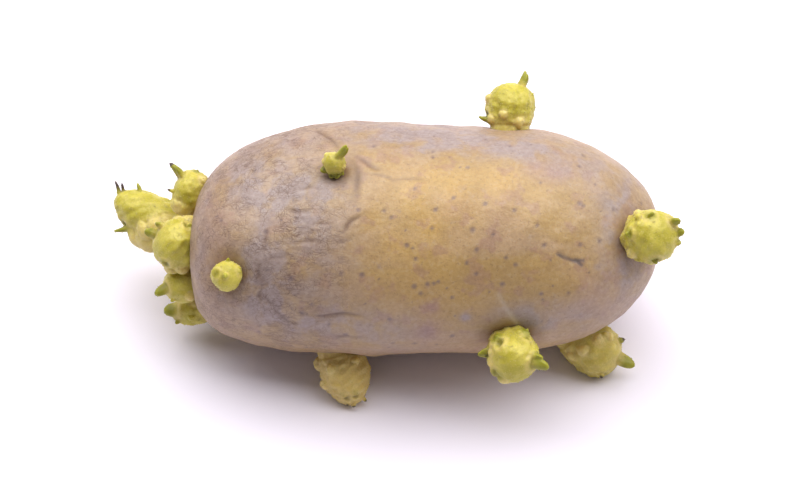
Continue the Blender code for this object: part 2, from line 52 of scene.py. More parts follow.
LENGTH, WIDTH, HEIGHT = 0.104, 0.0529, 0.0508
HALF_SIZE = np.array((LENGTH, WIDTH, HEIGHT)) / 2
CROWN_POWER, HEEL_POWER = 3.6, 2.3
CROWN_DROOP, DROOP_POWER = 0.0026, 3.5
REST_HEIGHT = HEIGHT / 2 - 0.00075
SWELL_HEIGHT = 0.00022
SWELL_WAVES = ((95, 120, 60, 0.4), (-150, 70, 110, 1.9), (60, -160, 140, 3.1))

# Places are given as seen in the photograph: to the right, up the picture and nearer, from the tuber's middle
SLOPE = math.radians(52)
VIEW_DISTANCE = 0.43
RIGHT = Vector((1, 0, 0))
UP = Vector((0, math.sin(SLOPE), math.cos(SLOPE)))
NEAR = Vector((0, -math.cos(SLOPE), math.sin(SLOPE)))
AXES = np.array((RIGHT, UP, NEAR))

# The flesh under the skin rises and sinks this much, over about a centimetre
BROAD_RIPPLE = 0.00014

# The grid of the skin: cells along the tuber and cells across each of its sides
CELLS_ALONG, CELLS_ACROSS = 184, 98

# Sprouted eyes: place, depth of the hollow and its radius. All have the same low brow on the heel side; a
# brow's place and width are counted in radii of its eye
SPROUTED_BROW = 0.0003
BROW_PLACE, BROW_WIDTH = 1.25, 0.35
SPROUTED_EYES = {
    "sprout_front_left": ((-0.0413, -0.0062, 0.0192), 0.0012, 0.0048),
    "sprout_upper": ((-0.0201, 0.0161, 0.0204), 0.0011, 0.0044),
    "sprout_top": ((0.0185, 0.0252, -0.0010), 0.001, 0.0055),
    "sprout_heel": ((0.0462, 0.0003, 0.0149), 0.001, 0.0068),
    "sprout_front_low": ((0.0175, -0.0217, 0.0132), 0.001, 0.0066),
    "sprout_heel_foot": ((0.0326, -0.0209, -0.0050), 0.001, 0.0062),
    "sprout_front_foot": ((-0.0198, -0.0258, -0.0005), 0.001, 0.0062),
    "sprout_crown_top": ((-0.0472, 0.0114, -0.0020), 0.0008, 0.0055),
    "sprout_crown_long": ((-0.0510, 0.0016, -0.0095), 0.0008, 0.0055),
    "sprout_crown_middle": ((-0.0512, 0.0006, 0.0034), 0.0008, 0.0055),
    "sprout_crown_low": ((-0.0512, -0.0064, 0.0000), 0.0006, 0.0055),
    "sprout_crown_foot": ((-0.0498, -0.0136, -0.0072), 0.0006, 0.0042),
    "sprout_back_upper": ((-0.0140, 0.0150, -0.0210), 0.001, 0.0048),
    "sprout_back_low": ((0.0262, 0.0050, -0.0235), 0.001, 0.005),
}

# Sleeping eyes: place, depth, radius and the height of the brow
SLEEPING_EYES = (
    ((0.0020, 0.0225, -0.0120), 0.0010, 0.0038, 0.0005),
    ((-0.0330, 0.0050, -0.0215), 0.0010, 0.0036, 0.0005),
    ((0.0420, 0.0100, -0.0120), 0.0009, 0.0034, 0.0004),
    ((0.0060, -0.0120, -0.0230), 0.0008, 0.0034, 0.0004),
)

# Broad shallow hollows, and swellings where the depth is negative: place, depth and radius
HOLLOWS = (
    ((0.0090, 0.0245, 0.0065), 0.0007, 0.0100),
    ((-0.0330, 0.0075, 0.0200), 0.0006, 0.0090),
    ((-0.0370, -0.0070, 0.0195), 0.0007, 0.0060),
    ((0.0300, 0.0160, 0.0140), -0.0004, 0.0120),
    ((-0.0100, 0.0060, 0.0250), -0.0003, 0.0100),
    ((0.0150, -0.0060, -0.0250), 0.0005, 0.0110),
)

# How far folds wander off their lines; how far one lip stands up for a groove of 1, and its place and width
# in widths of the fold; how deep a fold gets for its given depth; and the given depth at which a fold's
# painted shade is fullest
WANDER = 0.00018
LIP_RISE, LIP_PLACE, LIP_WIDTH = 0.45, 2.1, 1.1
FOLD_DEPTH = 0.6
DARKEST_FOLD = 0.34

# Folds of slack skin on the near side, in millimetres to the right and up: width, depth, then the line
FOLDS = (
    (0.50, 0.42, ((-25.8, 24.4), (-23.2, 23.1), (-21.0, 21.6), (-19.7, 20.5))),
    (0.55, 0.40, ((-16.7, 19.2), (-14.6, 17.8), (-12.8, 16.5), (-11.5, 15.8), (-10.1, 15.7))),
    (0.40, 0.26, ((-13.5, 14.8), (-11.6, 14.6), (-9.8, 13.9), (-8.2, 13.0), (-6.5, 12.4))),
    (0.40, 0.22, ((-8.0, 13.1), (-5.5, 13.4), (-3.1, 13.5), (0.8, 12.8))),
    (0.90, 0.34, ((-17.4, 17.8), (-16.3, 15.8), (-15.9, 13.5), (-16.3, 10.9), (-16.5, 8.6))),
    (0.45, 0.42, ((-14.6, 5.5), (-16.3, 4.5), (-17.6, 3.2), (-18.9, 1.5), (-20.0, 0.4))),
    (0.45, 0.34, ((-36.9, 2.1), (-36.9, 0.4), (-37.2, -1.8), (-36.9, -3.2))),
    (0.40, 0.26, ((-36.0, -4.8), (-34.4, -4.1), (-32.1, -4.0), (-30.6, -4.2))),
    (0.50, 0.32, ((-32.9, 7.1), (-30.6, 6.2), (-28.8, 6.4), (-26.9, 6.0))),
    (0.45, 0.36, ((-26.9, -17.0), (-23.2, -17.2), (-20.2, -16.7), (-16.8, -16.6), (-13.5, -17.0))),
    (0.45, 0.30, ((-34.7, -15.3), (-32.9, -17.5), (-30.6, -18.8), (-28.8, -19.2))),
    (0.40, 0.26, ((-36.6, -13.0), (-35.5, -14.2), (-34.0, -15.7))),
    (0.45, 0.40, ((-38.7, -5.5), (-38.0, -7.0), (-38.2, -8.9), (-37.8, -10.4))),
    (0.40, 0.34, ((-36.6, -9.2), (-36.7, -11.0))),
    (0.40, 0.34, ((-37.4, -12.2), (-37.3, -14.0))),
    (0.35, 0.22, ((-20.6, -1.0), (-18.7, -0.9), (-17.2, -0.1))),
    (0.40, 0.24, ((-28.4, -0.7), (-25.4, -0.5), (-23.2, -0.9))),
    (0.40, 0.24, ((-27.3, 3.4), (-24.7, 3.1), (-21.3, 3.4))),
    (0.40, 0.24, ((-21.7, -21.6), (-17.7, -21.4), (-13.6, -21.6))),
    (0.35, 0.26, ((-36.9, -22.0), (-35.1, -22.0))),
    (0.40, 0.20, ((-32.3, 12.3), (-29.3, 11.6), (-26.3, 12.2), (-23.3, 11.4))),
    (0.40, 0.20, ((-35.3, -18.9), (-32.6, -20.7), (-29.0, -21.5), (-24.8, -21.1))),
)

# Where the skin has split or been scraped: width, depth, then the line; the first is a healed, pale crack
SCARS = (
    (0.45, 0.10, ((15.7, -12.4), (16.2, -13.5), (17.6, -15.4), (18.6, -17.3), (19.7, -19.3))),
    (0.38, 0.14, ((28.7, -3.4), (30.7, -4.4), (32.3, -5.0), (33.4, -5.8))),
    (0.33, 0.10, ((32.4, -4.8), (34.1, -4.9))),
)

# The puckered arcs by the low front eye: the eye's place, and how far from it they start and end
PUCKER_PLACE = (-44.2, -8.2)
PUCKER_START, PUCKER_END = (0.0042, 0.0055), (0.0085, 0.0115)
ARC_SPACING, ARC_HEIGHT = 0.00125, 0.00012

# Pores that have corked over, to the right and up in millimetres, on the near side
PORES = (
    (-8.1, 4.8), (-4.5, -1.5), (-2.5, -4.5), (2, 6.5), (-2.7, 11.3), (6.1, 9.1), (10.3, 1.9), (14.8, 0.9),
    (13.2, 7.7), (19.5, 6.2), (9.4, 16.3), (11.1, -2.5), (11, -7.8), (16.6, -10.1), (8.9, -5.4),
    (19.5, -5.8), (2.6, -9.5), (1.6, -9.9), (0.1, -10.1), (-2.8, -10.6), (-1.3, -12.1), (5.6, -13.1),
    (33.6, 15.7), (33.8, 7.8), (34.6, 7.3), (41.5, 6.5), (24.4, 2.9), (25.8, -1.5), (33.7, -1.4), (38, -0.5),
    (24.8, -12), (-8.2, -17.7), (5.6, -21.5), (-2.7, -22.9), (-8.4, -23.8), (-21.7, -19), (-14.5, -8.1),
    (-19.2, -7.9), (-15.7, 6.4), (-36.9, 1.5), (-18, -21), (-27.9, -16.7), (-30.6, -9), (-25.7, -14.7),
)
SCATTERED_PORES = 150
PORE_RADII, SCATTERED_RADII = (0.00042, 0.00062), (0.00025, 0.00048)
PORE_RIM, PORE_DEPTH = 0.00005, 0.00009

# Even the tightest skin is wrinkled this much, where 1 is fully slack
LEAST_SLACK = 0.12

# Tints of the skin: to the right and up in millimetres, radius across and up, and strength
GREY_FLUSH = (
    (8.7, -17.6, 1.3, 0.9, 1.1), (25, -18.5, 3.5, 2.5, 0.6), (23, 20, 5, 2.5, 0.5), (-38.9, 12.8, 9, 6, 1),
    (-30.8, 11.8, 8, 4, 0.6), (-37.9, -6.2, 6, 9, 1.1), (-27.8, 5.8, 9, 6, 0.7), (-24.8, -4.2, 10, 8, 0.55),
    (-32.8, -16.3, 12, 6, 0.6), (-18.8, -19.3, 14, 5, 0.55), (-20.8, 12.8, 7, 5, 0.5),
    (-33.8, 20.9, 12, 4, 0.45), (-8.7, 23.9, 16, 4, 0.7), (7.3, 22.9, 14, 4, 0.75),
    (19.4, 19.9, 10, 4, 0.45), (33.4, 16.9, 9, 5, 0.6), (43.4, 7.8, 5, 10, 0.9), (44.4, -6.2, 5, 9, 0.8),
    (20.4, -17.3, 6, 3, 0.8), (33.4, -17.3, 8, 4, 0.45), (-6.7, -22.3, 9, 4, 0.35),
    (-50.9, -4.2, 4, 12, 0.5),
)
PINK_BLUSH = (
    (0.5, -15.6, 2, 1.6, 0.9), (0.3, -20.5, 3.4, 2.3, 0.9), (24.2, 15.9, 2.6, 2.2, 0.6),
    (29.4, 14.9, 4, 3, 0.5), (16.3, 6.8, 5, 4, 0.35), (-48.9, -2.2, 5, 16, 0.4), (-44.9, 14.9, 5, 8, 0.3),
    (39.4, -12.2, 6, 5, 0.3), (6.3, 6.8, 4, 3, 0.3),
)
GOLDEN = (
    (-2.7, 7.8, 12, 7, 1), (11.3, 12.8, 14, 5, 0.7), (-4.7, -4.2, 12, 8, 0.8), (-16.8, 11.8, 5, 4, 0.6),
    (23.4, 5.8, 12, 7, 0.4), (3.3, -12.2, 16, 6, 0.5), (31.4, -8.2, 8, 5, 0.3),
)


def as_vector(place):
    right, up, near = place
    return RIGHT * right + UP * up + NEAR * near


def profile(directions):
    """How far each direction leans to the crown and across, and the power of the outline's curve there."""
    crownward = -directions[:, 0]
    across = np.sqrt(np.clip(1 - crownward**2, 1e-9, 1))
    power = (CROWN_POWER + HEEL_POWER) / 2 + (CROWN_POWER - HEEL_POWER) / 2 * crownward
    return crownward, across, power


def round_body(directions):
    crownward, across, power = profile(directions)
    reach = (np.abs(crownward) ** power + across**power) ** (-1 / power)
    points = directions * reach[:, None] * HALF_SIZE
    towards_crown = np.clip(-points[:, 0] / HALF_SIZE[0], 0, 1)
    return points - np.outer(CROWN_DROOP * towards_crown**DROOP_POWER, np.array(UP))


def outward(directions):
    crownward, across, power = profile(directions)
    slopes = np.empty_like(directions)
    slopes[:, 0] = np.sign(directions[:, 0]) * np.abs(crownward) ** (power - 1) / HALF_SIZE[0]
    for axis in (1, 2):
        slopes[:, axis] = across ** (power - 2) * directions[:, axis] / HALF_SIZE[axis]
    return slopes / np.linalg.norm(slopes, axis=1)[:, None]


def direction_of(place):
    spot = np.array(as_vector(place)) / HALF_SIZE
    return (spot / np.linalg.norm(spot))[None, :]


def skin_place(place):
    return round_body(direction_of(place))[0]


def seen_place(right_mm, up_mm):
    """The point of the near skin that shows at this place of the picture, found in a few rounds."""
    right, up, near = right_mm / 1000, up_mm / 1000, 0.02
    for _ in range(6):
        closer = 1 + near / VIEW_DISTANCE
        x, u = right / closer, up / closer
        u += CROWN_DROOP * max(-x / HALF_SIZE[0], 0) ** DROOP_POWER
        share = min(abs(x) / HALF_SIZE[0], 0.999)
        power = CROWN_POWER if x < 0 else HEEL_POWER
        around = (1 - share**power) ** (1 / power)
        wide = math.hypot(HALF_SIZE[1] * UP.y, HALF_SIZE[2] * UP.z) * around
        near = math.sqrt(max(wide**2 - u**2, 1e-8))
    return skin_place((x, u, near))


def away(points, middle):
    return np.linalg.norm(points - middle, axis=1)


def bell(distance, size, power=2):
    """1 at no distance, fading out past this size."""
    return np.exp(-((distance / size) ** power))


def soft_step(low, high, values):
    share = np.clip((values - low) / (high - low), 0, 1)
    return share * share * (3 - 2 * share)


def eye_relief(points, place, depth, radius, brow):
    """A round hollow with a raised brow on its heel side."""
    middle = skin_place(place)
    normal = outward(direction_of(place))[0]
    heelward = np.array((1.0, 0.0, 0.0)) - normal[0] * normal
    heelward /= np.linalg.norm(heelward)
    distance = away(points, middle)
    facing = np.clip((points - middle) @ heelward / np.maximum(distance, 1e-6), 0, 1)
    crest = bell(distance - BROW_PLACE * radius, BROW_WIDTH * radius)
    return brow * crest * facing**2 - depth * bell(distance, radius)


def ball_of_squares(along, across):
    """Unit directions in a grid on the six sides of a cube: even, closed, and with no pole."""
    points, quads, start = [], [], 0
    for axis in range(3):
        others = [other for other in range(3) if other != axis]
        counts = [along if other == 0 else across for other in others]
        u, v = (np.tan(np.linspace(-1, 1, count + 1) * math.pi / 4) for count in counts)
        for side in (-1, 1):
            grid = np.empty((len(u), len(v), 3))
            grid[..., axis] = side
            grid[..., others[0]], grid[..., others[1]] = np.meshgrid(u, v, indexing="ij")
            number = start + np.arange(len(u) * len(v)).reshape(len(u), len(v))
            ring = [number[:-1, :-1], number[1:, :-1], number[1:, 1:], number[:-1, 1:]]
            if (side > 0) == (axis == 1):
                ring.reverse()
            points.append(grid.reshape(-1, 3))
            quads.append(np.stack([corner.ravel() for corner in ring], axis=1))
            start += len(u) * len(v)
    points, quads = np.concatenate(points), np.concatenate(quads)
    _, first, shared = np.unique(np.round(points, 6), axis=0, return_index=True, return_inverse=True)
    points = points[first]
    return points / np.linalg.norm(points, axis=1)[:, None], shared.reshape(-1)[quads]


def ripple(points, size, seed):
    """A smooth uneven field between about -1 and 1, from waves that run every way."""
    draw = random.Random(seed)
    total = np.zeros(len(points))
    for _ in range(7):
        way = np.array([draw.gauss(0, 1) for _ in range(3)])
        way *= math.tau / size * draw.uniform(0.6, 1.5) / np.linalg.norm(way)
        total += np.sin(points @ way + draw.uniform(0, math.tau))
    return total / 3


def along_line(points, corners):
    """Each point's distance from a line of corners, how far along it is, and which side of it it lies on."""
    best = np.ones(len(points))
    share = np.zeros(len(points))
    side = np.zeros(len(points))
    lengths = [np.linalg.norm(b - a) for a, b in zip(corners, corners[1:])]
    done = 0.0
    for (a, b), length in zip(zip(corners, corners[1:]), lengths):
        step = (b - a) / length
        place = np.clip((points - a) @ step, 0, length)
        offset = points - a - place[:, None] * step
        distance = np.linalg.norm(offset, axis=1)
        nearer = distance < best
        best[nearer] = distance[nearer]
        share[nearer] = (done + place[nearer]) / sum(lengths)
        side[nearer] = np.sign(offset[nearer] @ np.cross(step, np.array(NEAR)))
        done += length
    return best, share, side


def tint(points, blobs):
    """How strongly points are tinted by blobs placed as seen from the near side. Tints fade out behind."""
    right, up, near = (points @ AXES.T).T * 1000
    closer = 1 + near / VIEW_DISTANCE / 1000
    total = np.zeros(len(points))
    for x, y, wide, high, strength in blobs:
        total += strength * bell(right * closer - x, wide) * bell(up * closer - y, high)
    return total * soft_step(-8, 2, near)


def set_values(mesh, values_by_name):
    for name, values in values_by_name.items():
        kept = np.clip(values, 0, 1).astype(np.float32)
        mesh.attributes.new(name, "FLOAT", "POINT").data.foreach_set("value", kept)


def show(name, data):
    thing = bpy.data.objects.new(name, data)
    bpy.context.scene.collection.objects.link(thing)
    return thing


def finished(thing):
    """The object's mesh as its modifiers leave it, with the modifiers gone."""
    graph = bpy.context.evaluated_depsgraph_get()
    mesh = bpy.data.meshes.new_from_object(thing.evaluated_get(graph))
    thing.modifiers.clear()
    thing.data = mesh
    return mesh


directions, skin_faces = ball_of_squares(CELLS_ALONG, CELLS_ACROSS)
body_points = round_body(directions)
body_normals = outward(directions)
height = np.zeros(len(body_points))
for x, y, z, phase in SWELL_WAVES:
    height += SWELL_HEIGHT * np.sin(body_points @ np.array((x, y, z)) + phase)
for place, depth, radius in HOLLOWS:
    height -= depth * bell(away(body_points, skin_place(place)), radius)
for eye in SPROUTED_EYES.values():
    height += eye_relief(body_points, *eye, SPROUTED_BROW)
for eye in SLEEPING_EYES:
    height += eye_relief(body_points, *eye)
height += BROAD_RIPPLE * ripple(body_points, 0.011, 31)

# Folds wander a little off their lines, and one lip of each stands up
wander = np.stack([ripple(body_points, 0.004, seed) for seed in (1, 2, 3)], axis=1) * WANDER
wandering = body_points + wander
crease, healed, scraped, pore = (np.zeros(len(body_points)) for _ in range(4))
for width, depth, line in FOLDS:
    distance, share, side = along_line(wandering, [seen_place(*spot) for spot in line])
    wide = width / 1000
    taper = np.sin(math.pi * np.clip(share, 0.02, 0.98)) ** 0.6
    groove = bell(distance, wide) * taper
    lip = bell(distance - LIP_PLACE * wide, LIP_WIDTH * wide) * taper * (side > 0)
    height += (LIP_RISE * lip - groove) * FOLD_DEPTH * depth / 1000
    # The groove also darkens the skin along it: painted shade in the fold.
    crease += groove * min(1, depth / DARKEST_FOLD)
for number, (width, depth, line) in enumerate(SCARS):
    distance, share, _ = along_line(wandering, [seen_place(*spot) for spot in line])
    mark = bell(distance, width / 1000)
    height -= mark * depth / 1000
    if number:
        scraped += mark
    else:
        healed += mark * (0.4 + 0.6 * share)

# The skin has puckered in arcs on the heel side of the low front eye
pucker_eye = seen_place(*PUCKER_PLACE)
arc_away = away(body_points, pucker_eye)
arc_side = (body_points - pucker_eye)[:, 0] / np.maximum(arc_away, 1e-6)
puckered = soft_step(0.15, 0.75, arc_side) * soft_step(*PUCKER_START, arc_away)
puckered *= 1 - soft_step(*PUCKER_END, arc_away)
arcs = np.sin(arc_away * math.tau / ARC_SPACING + 1.3 * ripple(body_points, 0.003, 11))
arcs *= 0.6 + 0.4 * ripple(body_points, 0.002, 12)
height += puckered * arcs * ARC_HEIGHT
# The valleys of the arcs are darkened as well: painted shade.
crease += puckered * np.clip(-arcs, 0, 1) * 0.7

# Each pore is a cork plug with a dip in its middle and a low rim
pore_draw = random.Random(8)
spots = [(seen_place(*spot), pore_draw.uniform(*PORE_RADII)) for spot in PORES]
for _ in range(SCATTERED_PORES):
    index = pore_draw.randrange(len(body_points))
    spots.append((body_points[index], pore_draw.uniform(*SCATTERED_RADII)))
for middle, radius in spots:
    box = np.abs(body_points - middle).max(axis=1) < 0.003
    distance = away(body_points[box], middle)
    pore[box] = np.maximum(pore[box], bell(distance, radius, 4))
    rim = bell(distance - 1.3 * radius, 0.6 * radius)
    height[box] += PORE_RIM * rim - PORE_DEPTH * bell(distance, radius)

# Slack skin wrinkles finely: over the crown third, along the back, round the heel and on the far side
right_mm, up_mm, near_mm = (body_points @ AXES.T).T * 1000
slack = 1.0 - soft_step(-27, -12, right_mm + 2.0 * ripple(body_points, 0.02, 21))
for share, low, high, values in ((0.55, 17, 24, up_mm), (0.5, 38, 47, right_mm), (0.45, 6, 20, -near_mm)):
    slack = np.maximum(slack, share * soft_step(low, high, values))

# Each eye's hollow is ringed with a darker brown: painted shade in the eye.
eye_shade = np.zeros(len(body_points))
for eyes, strength, spread, power in ((SPROUTED_EYES.values(), 1.0, 0.95, 4), (SLEEPING_EYES, 0.8, 0.45, 2)):
    for place, _, radius, *_ in eyes:
        ring = bell(away(body_points, skin_place(place)), spread * radius, power)
        eye_shade = np.maximum(eye_shade, strength * ring)

points = body_points + body_normals * height[:, None]
box_low, box_high = (Vector(corner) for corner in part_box("tuber"))
tuber_middle = Vector((0, 0, REST_HEIGHT))
for axis in (0, 1):
    tuber_middle[axis] = (box_low[axis] + box_high[axis] - points[:, axis].min() - points[:, axis].max()) / 2
points += np.array(tuber_middle)

tuber_mesh = bpy.data.meshes.new("tuber skin")
tuber_mesh.from_pydata(points.tolist(), [], skin_faces.tolist())
set_values(tuber_mesh, {
    "crease": crease,
    "pore": pore,
    "healed": healed,
    "scraped": scraped,
    "eye": eye_shade,
    "slack": np.maximum(slack, LEAST_SLACK),
    "upright": 1 - soft_step(-37, -31, right_mm),
    "grey": tint(body_points, GREY_FLUSH) + 0.5 * soft_step(4, 16, -near_mm),
    "pink": tint(body_points, PINK_BLUSH),
    "gold": tint(body_points, GOLDEN) * (0.8 + 0.3 * ripple(body_points, 0.009, 41)),
})


class Tree:
    """A node tree under construction."""

    def __init__(self, tree):
        self.tree = tree

    def add(self, kind, settings=None, **links):
        """Adds a node. A link's name is an input's name with _ for spaces, or its number after in_."""
        node = self.tree.nodes.new(kind)
        for name, value in (settings or {}).items():
            setattr(node, name, value)
        for name, value in links.items():
            self.link(value, node.inputs[int(name[3:]) if name.startswith("in_") else name.replace("_", " ")])
        return node

    def link(self, value, socket):
        if isinstance(value, bpy.types.Node):
            value = value.outputs[0]
        if isinstance(value, bpy.types.NodeSocket):
            self.tree.links.new(value, socket)
        else:
            socket.default_value = value

    def math(self, operation, a, b=0.0):
        return self.add("ShaderNodeMath", {"operation": operation}, in_0=a, in_1=b).outputs[0]

    def times(self, a, b):
        return self.math("MULTIPLY", a, b)

    def plus(self, a, b):
        return self.math("ADD", a, b)

    def minus(self, a, b):
        return self.math("SUBTRACT", a, b)

    def stretched(self, vector, factors):
        node = self.add("ShaderNodeVectorMath", {"operation": "MULTIPLY"}, in_0=vector, in_1=factors)
        return node.outputs[0]

    def span(self, value, low, high, to_low=0.0, to_high=1.0):
        node = self.add("ShaderNodeMapRange", {"interpolation_type": "SMOOTHSTEP"})
        for socket, given in zip(node.inputs, (value, low, high, to_low, to_high)):
            self.link(given, socket)
        return node.outputs[0]

    def blend(self, share, a, b):
        return self.add("ShaderNodeMix", {"data_type": "RGBA"}, in_0=share, in_6=a, in_7=b).outputs[2]

    def laid_over(self, colour, layers):
        """The colour under others. Each is (the stored value that says where, its largest share, colour)."""
        for name, share, layer in layers:
            colour = self.blend(self.times(self.stored(name), share), colour, layer)
        return colour

    def noise(self, vector, scale, detail=2.0, roughness=0.5, distortion=0.0):
        return self.add("ShaderNodeTexNoise", None, Vector=vector, Scale=scale, Detail=detail,
                        Roughness=roughness, Distortion=distortion).outputs[0]

    def ridged(self, noise):
        """Thin lines where the noise passes through its middle."""
        return self.span(self.math("ABSOLUTE", self.minus(noise, 0.5)), 0.0, 0.07, 1.0, 0.0)

    def stored(self, name):
        """The value kept on the mesh under this name."""
        if self.tree.bl_idname == "GeometryNodeTree":
            return self.add("GeometryNodeInputNamedAttribute", {"data_type": "FLOAT"}, Name=name).outputs[0]
        return self.add("ShaderNodeAttribute", {"attribute_name": name}).outputs["Fac"]

    def store(self, geometry, name, value):
        return self.add("GeometryNodeStoreNamedAttribute", {"data_type": "FLOAT", "domain": "POINT"},
                        Geometry=geometry, Name=name, Value=value)

    def group(self, tree, **links):
        return self.add("ShaderNodeGroup", {"node_tree": tree}, **links)

    def raised(self, geometry, rise):
        """The geometry with its surface moved outwards."""
        normal = self.add("GeometryNodeInputNormal")
        offset = self.add("ShaderNodeVectorMath", {"operation": "SCALE"}, in_0=normal, Scale=rise)
        return self.add("GeometryNodeSetPosition", None, Geometry=geometry, Offset=offset)

    def end_with(self, geometry, material):
        real = self.add("GeometryNodeRealizeInstances", None, Geometry=geometry)
        dressed = self.add("GeometryNodeSetMaterial", None, Geometry=real, Material=material)
        self.add("NodeGroupOutput", None, Geometry=dressed)


def new_group(name, kind, inputs, outputs):
    """A node group with its sockets, each a name and a kind: the group, its Tree and what it is given."""
    tree = bpy.data.node_groups.new(name, kind)
    for way, sockets in (("INPUT", inputs), ("OUTPUT", outputs)):
        for socket_name, socket_kind in sockets.items():
            tree.interface.new_socket(socket_name, in_out=way, socket_type="NodeSocket" + socket_kind)
    build = Tree(tree)
    return tree, build, build.add("NodeGroupInput").outputs


def dress(thing, tree, **values):
    """Runs a tree on an object, its inputs set by their sockets' identifiers, and leaves the plain mesh."""
    modifier = thing.modifiers.new(tree.name, "NODES")
    modifier.node_group = tree
    for item in tree.interface.items_tree:
        name = item.name.replace(" ", "_")
        if item.in_out == "INPUT" and name in values:
            modifier[item.identifier] = values[name]
    finished(thing).shade_smooth()


# Fine wrinkles, as slack skin has them: they run along the tuber, and upright near the crown
slack_skin, build, given = new_group(
    "slack skin", "GeometryNodeTree",
    {"Geometry": "Geometry", "Wrinkle depth": "Float", "Wrinkles per metre": "Float", "Unevenness": "Float",
     "Lowest": "Float", "Material": "Material"},
    {"Geometry": "Geometry"},
)
position = build.add("GeometryNodeInputPosition")
lying, standing = (
    build.ridged(build.noise(build.stretched(position, factors), given["Wrinkles per metre"], 3.0, 0.55, 0.8))
    for factors in ((0.42, 1.25, 1.25), (1.3, 0.5, 0.5))
)
upright = build.stored("upright")
lines = build.plus(build.times(lying, build.minus(1.0, upright)), build.times(standing, upright))
patches = build.span(build.noise(position, 90.0, 2.0), 0.38, 0.62, 0.25, 1.0)
wrinkles = build.times(build.times(lines, build.stored("slack")), patches)
uneven = build.times(build.minus(build.noise(position, 330.0, 3.0, 0.55), 0.5), given["Unevenness"])
rise = build.minus(uneven, build.times(wrinkles, given["Wrinkle depth"]))
moved = build.raised(given["Geometry"], rise)
# What would go through the ground is pressed flat: that is the spot the tuber lies on
parts = build.add("ShaderNodeSeparateXYZ", None, Vector=build.add("GeometryNodeInputPosition"))
above_ground = build.math("MAXIMUM", parts.outputs[2], given["Lowest"])
whole = build.add("ShaderNodeCombineXYZ", None, X=parts.outputs[0], Y=parts.outputs[1], Z=above_ground)
laid = build.add("GeometryNodeSetPosition", None, Geometry=moved, Position=whole)
# The wrinkle lines are kept to darken the skin along them: painted shade in the wrinkles.
build.end_with(build.store(laid, "wrinkle_shade", wrinkles), given["Material"])


def linear(red, green, blue):
    """A colour given from 0 to 255 as a screen shows it."""
    def straight(value):
        share = value / 255
        return share / 12.92 if share <= 0.04045 else ((share + 0.055) / 1.055) ** 2.4
    return (straight(red), straight(green), straight(blue), 1.0)


def new_material(name, **values):
    material = bpy.data.materials.new(name)
    material.use_nodes = True
    material.node_tree.nodes.clear()
    build = Tree(material.node_tree)
    shader = build.add("ShaderNodeBsdfPrincipled", None, **values)
    build.add("ShaderNodeOutputMaterial", None, Surface=shader)
    return material, build, shader


# Mottling: soft clouds of two sizes, used for the skin's tints and for the sprouts' greens
mottling, build, given = new_group(
    "mottling", "ShaderNodeTree",
    {"Place": "Vector", "Clouds per metre": "Float", "Contrast": "Float"},
    {"Cloud": "Float", "Fleck": "Float"},
)
broad = build.noise(given["Place"], given["Clouds per metre"], 3.0, 0.55, 0.3)
fine = build.noise(given["Place"], build.times(given["Clouds per metre"], 5.0), 3.0, 0.6)
clouds, flecks = (
    build.plus(build.times(build.minus(noise, 0.5), given["Contrast"]), 0.5) for noise in (broad, fine)
)
build.add("NodeGroupOutput", None, Cloud=clouds, Fleck=flecks)

# Grain: the surface of both skin and sprout is finely pebbled. This gives its height and where a pebble is
grain, build, given = new_group(
    "plant grain", "ShaderNodeTree",
    {"Place": "Vector", "Grains per metre": "Float"},
    {"Height": "Float", "Grain": "Float"},
)
pebbles = build.noise(given["Place"], given["Grains per metre"], 2.0, 0.6)
swells = build.noise(given["Place"], build.times(given["Grains per metre"], 0.35), 2.0, 0.5)
together = build.plus(build.times(pebbles, 0.5), build.times(swells, 0.7))
build.add("NodeGroupOutput", None, Height=together, Grain=pebbles)


def bump_from(build, shader, height, strength, distance):
    bump = build.add("ShaderNodeBump", None, Height=height, Strength=strength, Distance=distance)
    build.link(bump, shader.inputs["Normal"])


def fine_net(build, place, scale, thin):
    """Thin lines between little cells, as dry skin crackles: 1 on a line, 0 inside a cell."""
    shift = build.add("ShaderNodeTexNoise", None, Vector=place, Scale=scale * 0.7, Detail=2.0)
    moved = build.add("ShaderNodeVectorMath", {"operation": "MULTIPLY_ADD"}, in_0=shift.outputs["Color"],
                      in_1=(0.8 / scale,) * 3, in_2=place)
    cells = build.add("ShaderNodeTexVoronoi", {"feature": "DISTANCE_TO_EDGE"}, Vector=moved, Scale=scale)
    return build.span(cells.outputs["Distance"], 0.0, thin, 1.0, 0.0)


OCHRE = linear(174, 143, 92)
GOLD = linear(190, 154, 88)
TAN = linear(176, 147, 116)
GREY = linear(162, 146, 144)
PINK = linear(158, 120, 110)
# A dark brown for the specks and crackle net that the skin has, and for painted shade in folds and wrinkles
CRACK_AND_CREASE_SHADE_BROWN = linear(106, 80, 66)
PORE_GREY = linear(116, 98, 98)
HEALED_PALE = linear(196, 182, 168)
SCRAPE_GREY = linear(92, 82, 84)
# Painted shade round the eyes
EYE_SHADE_BROWN = linear(122, 92, 70)

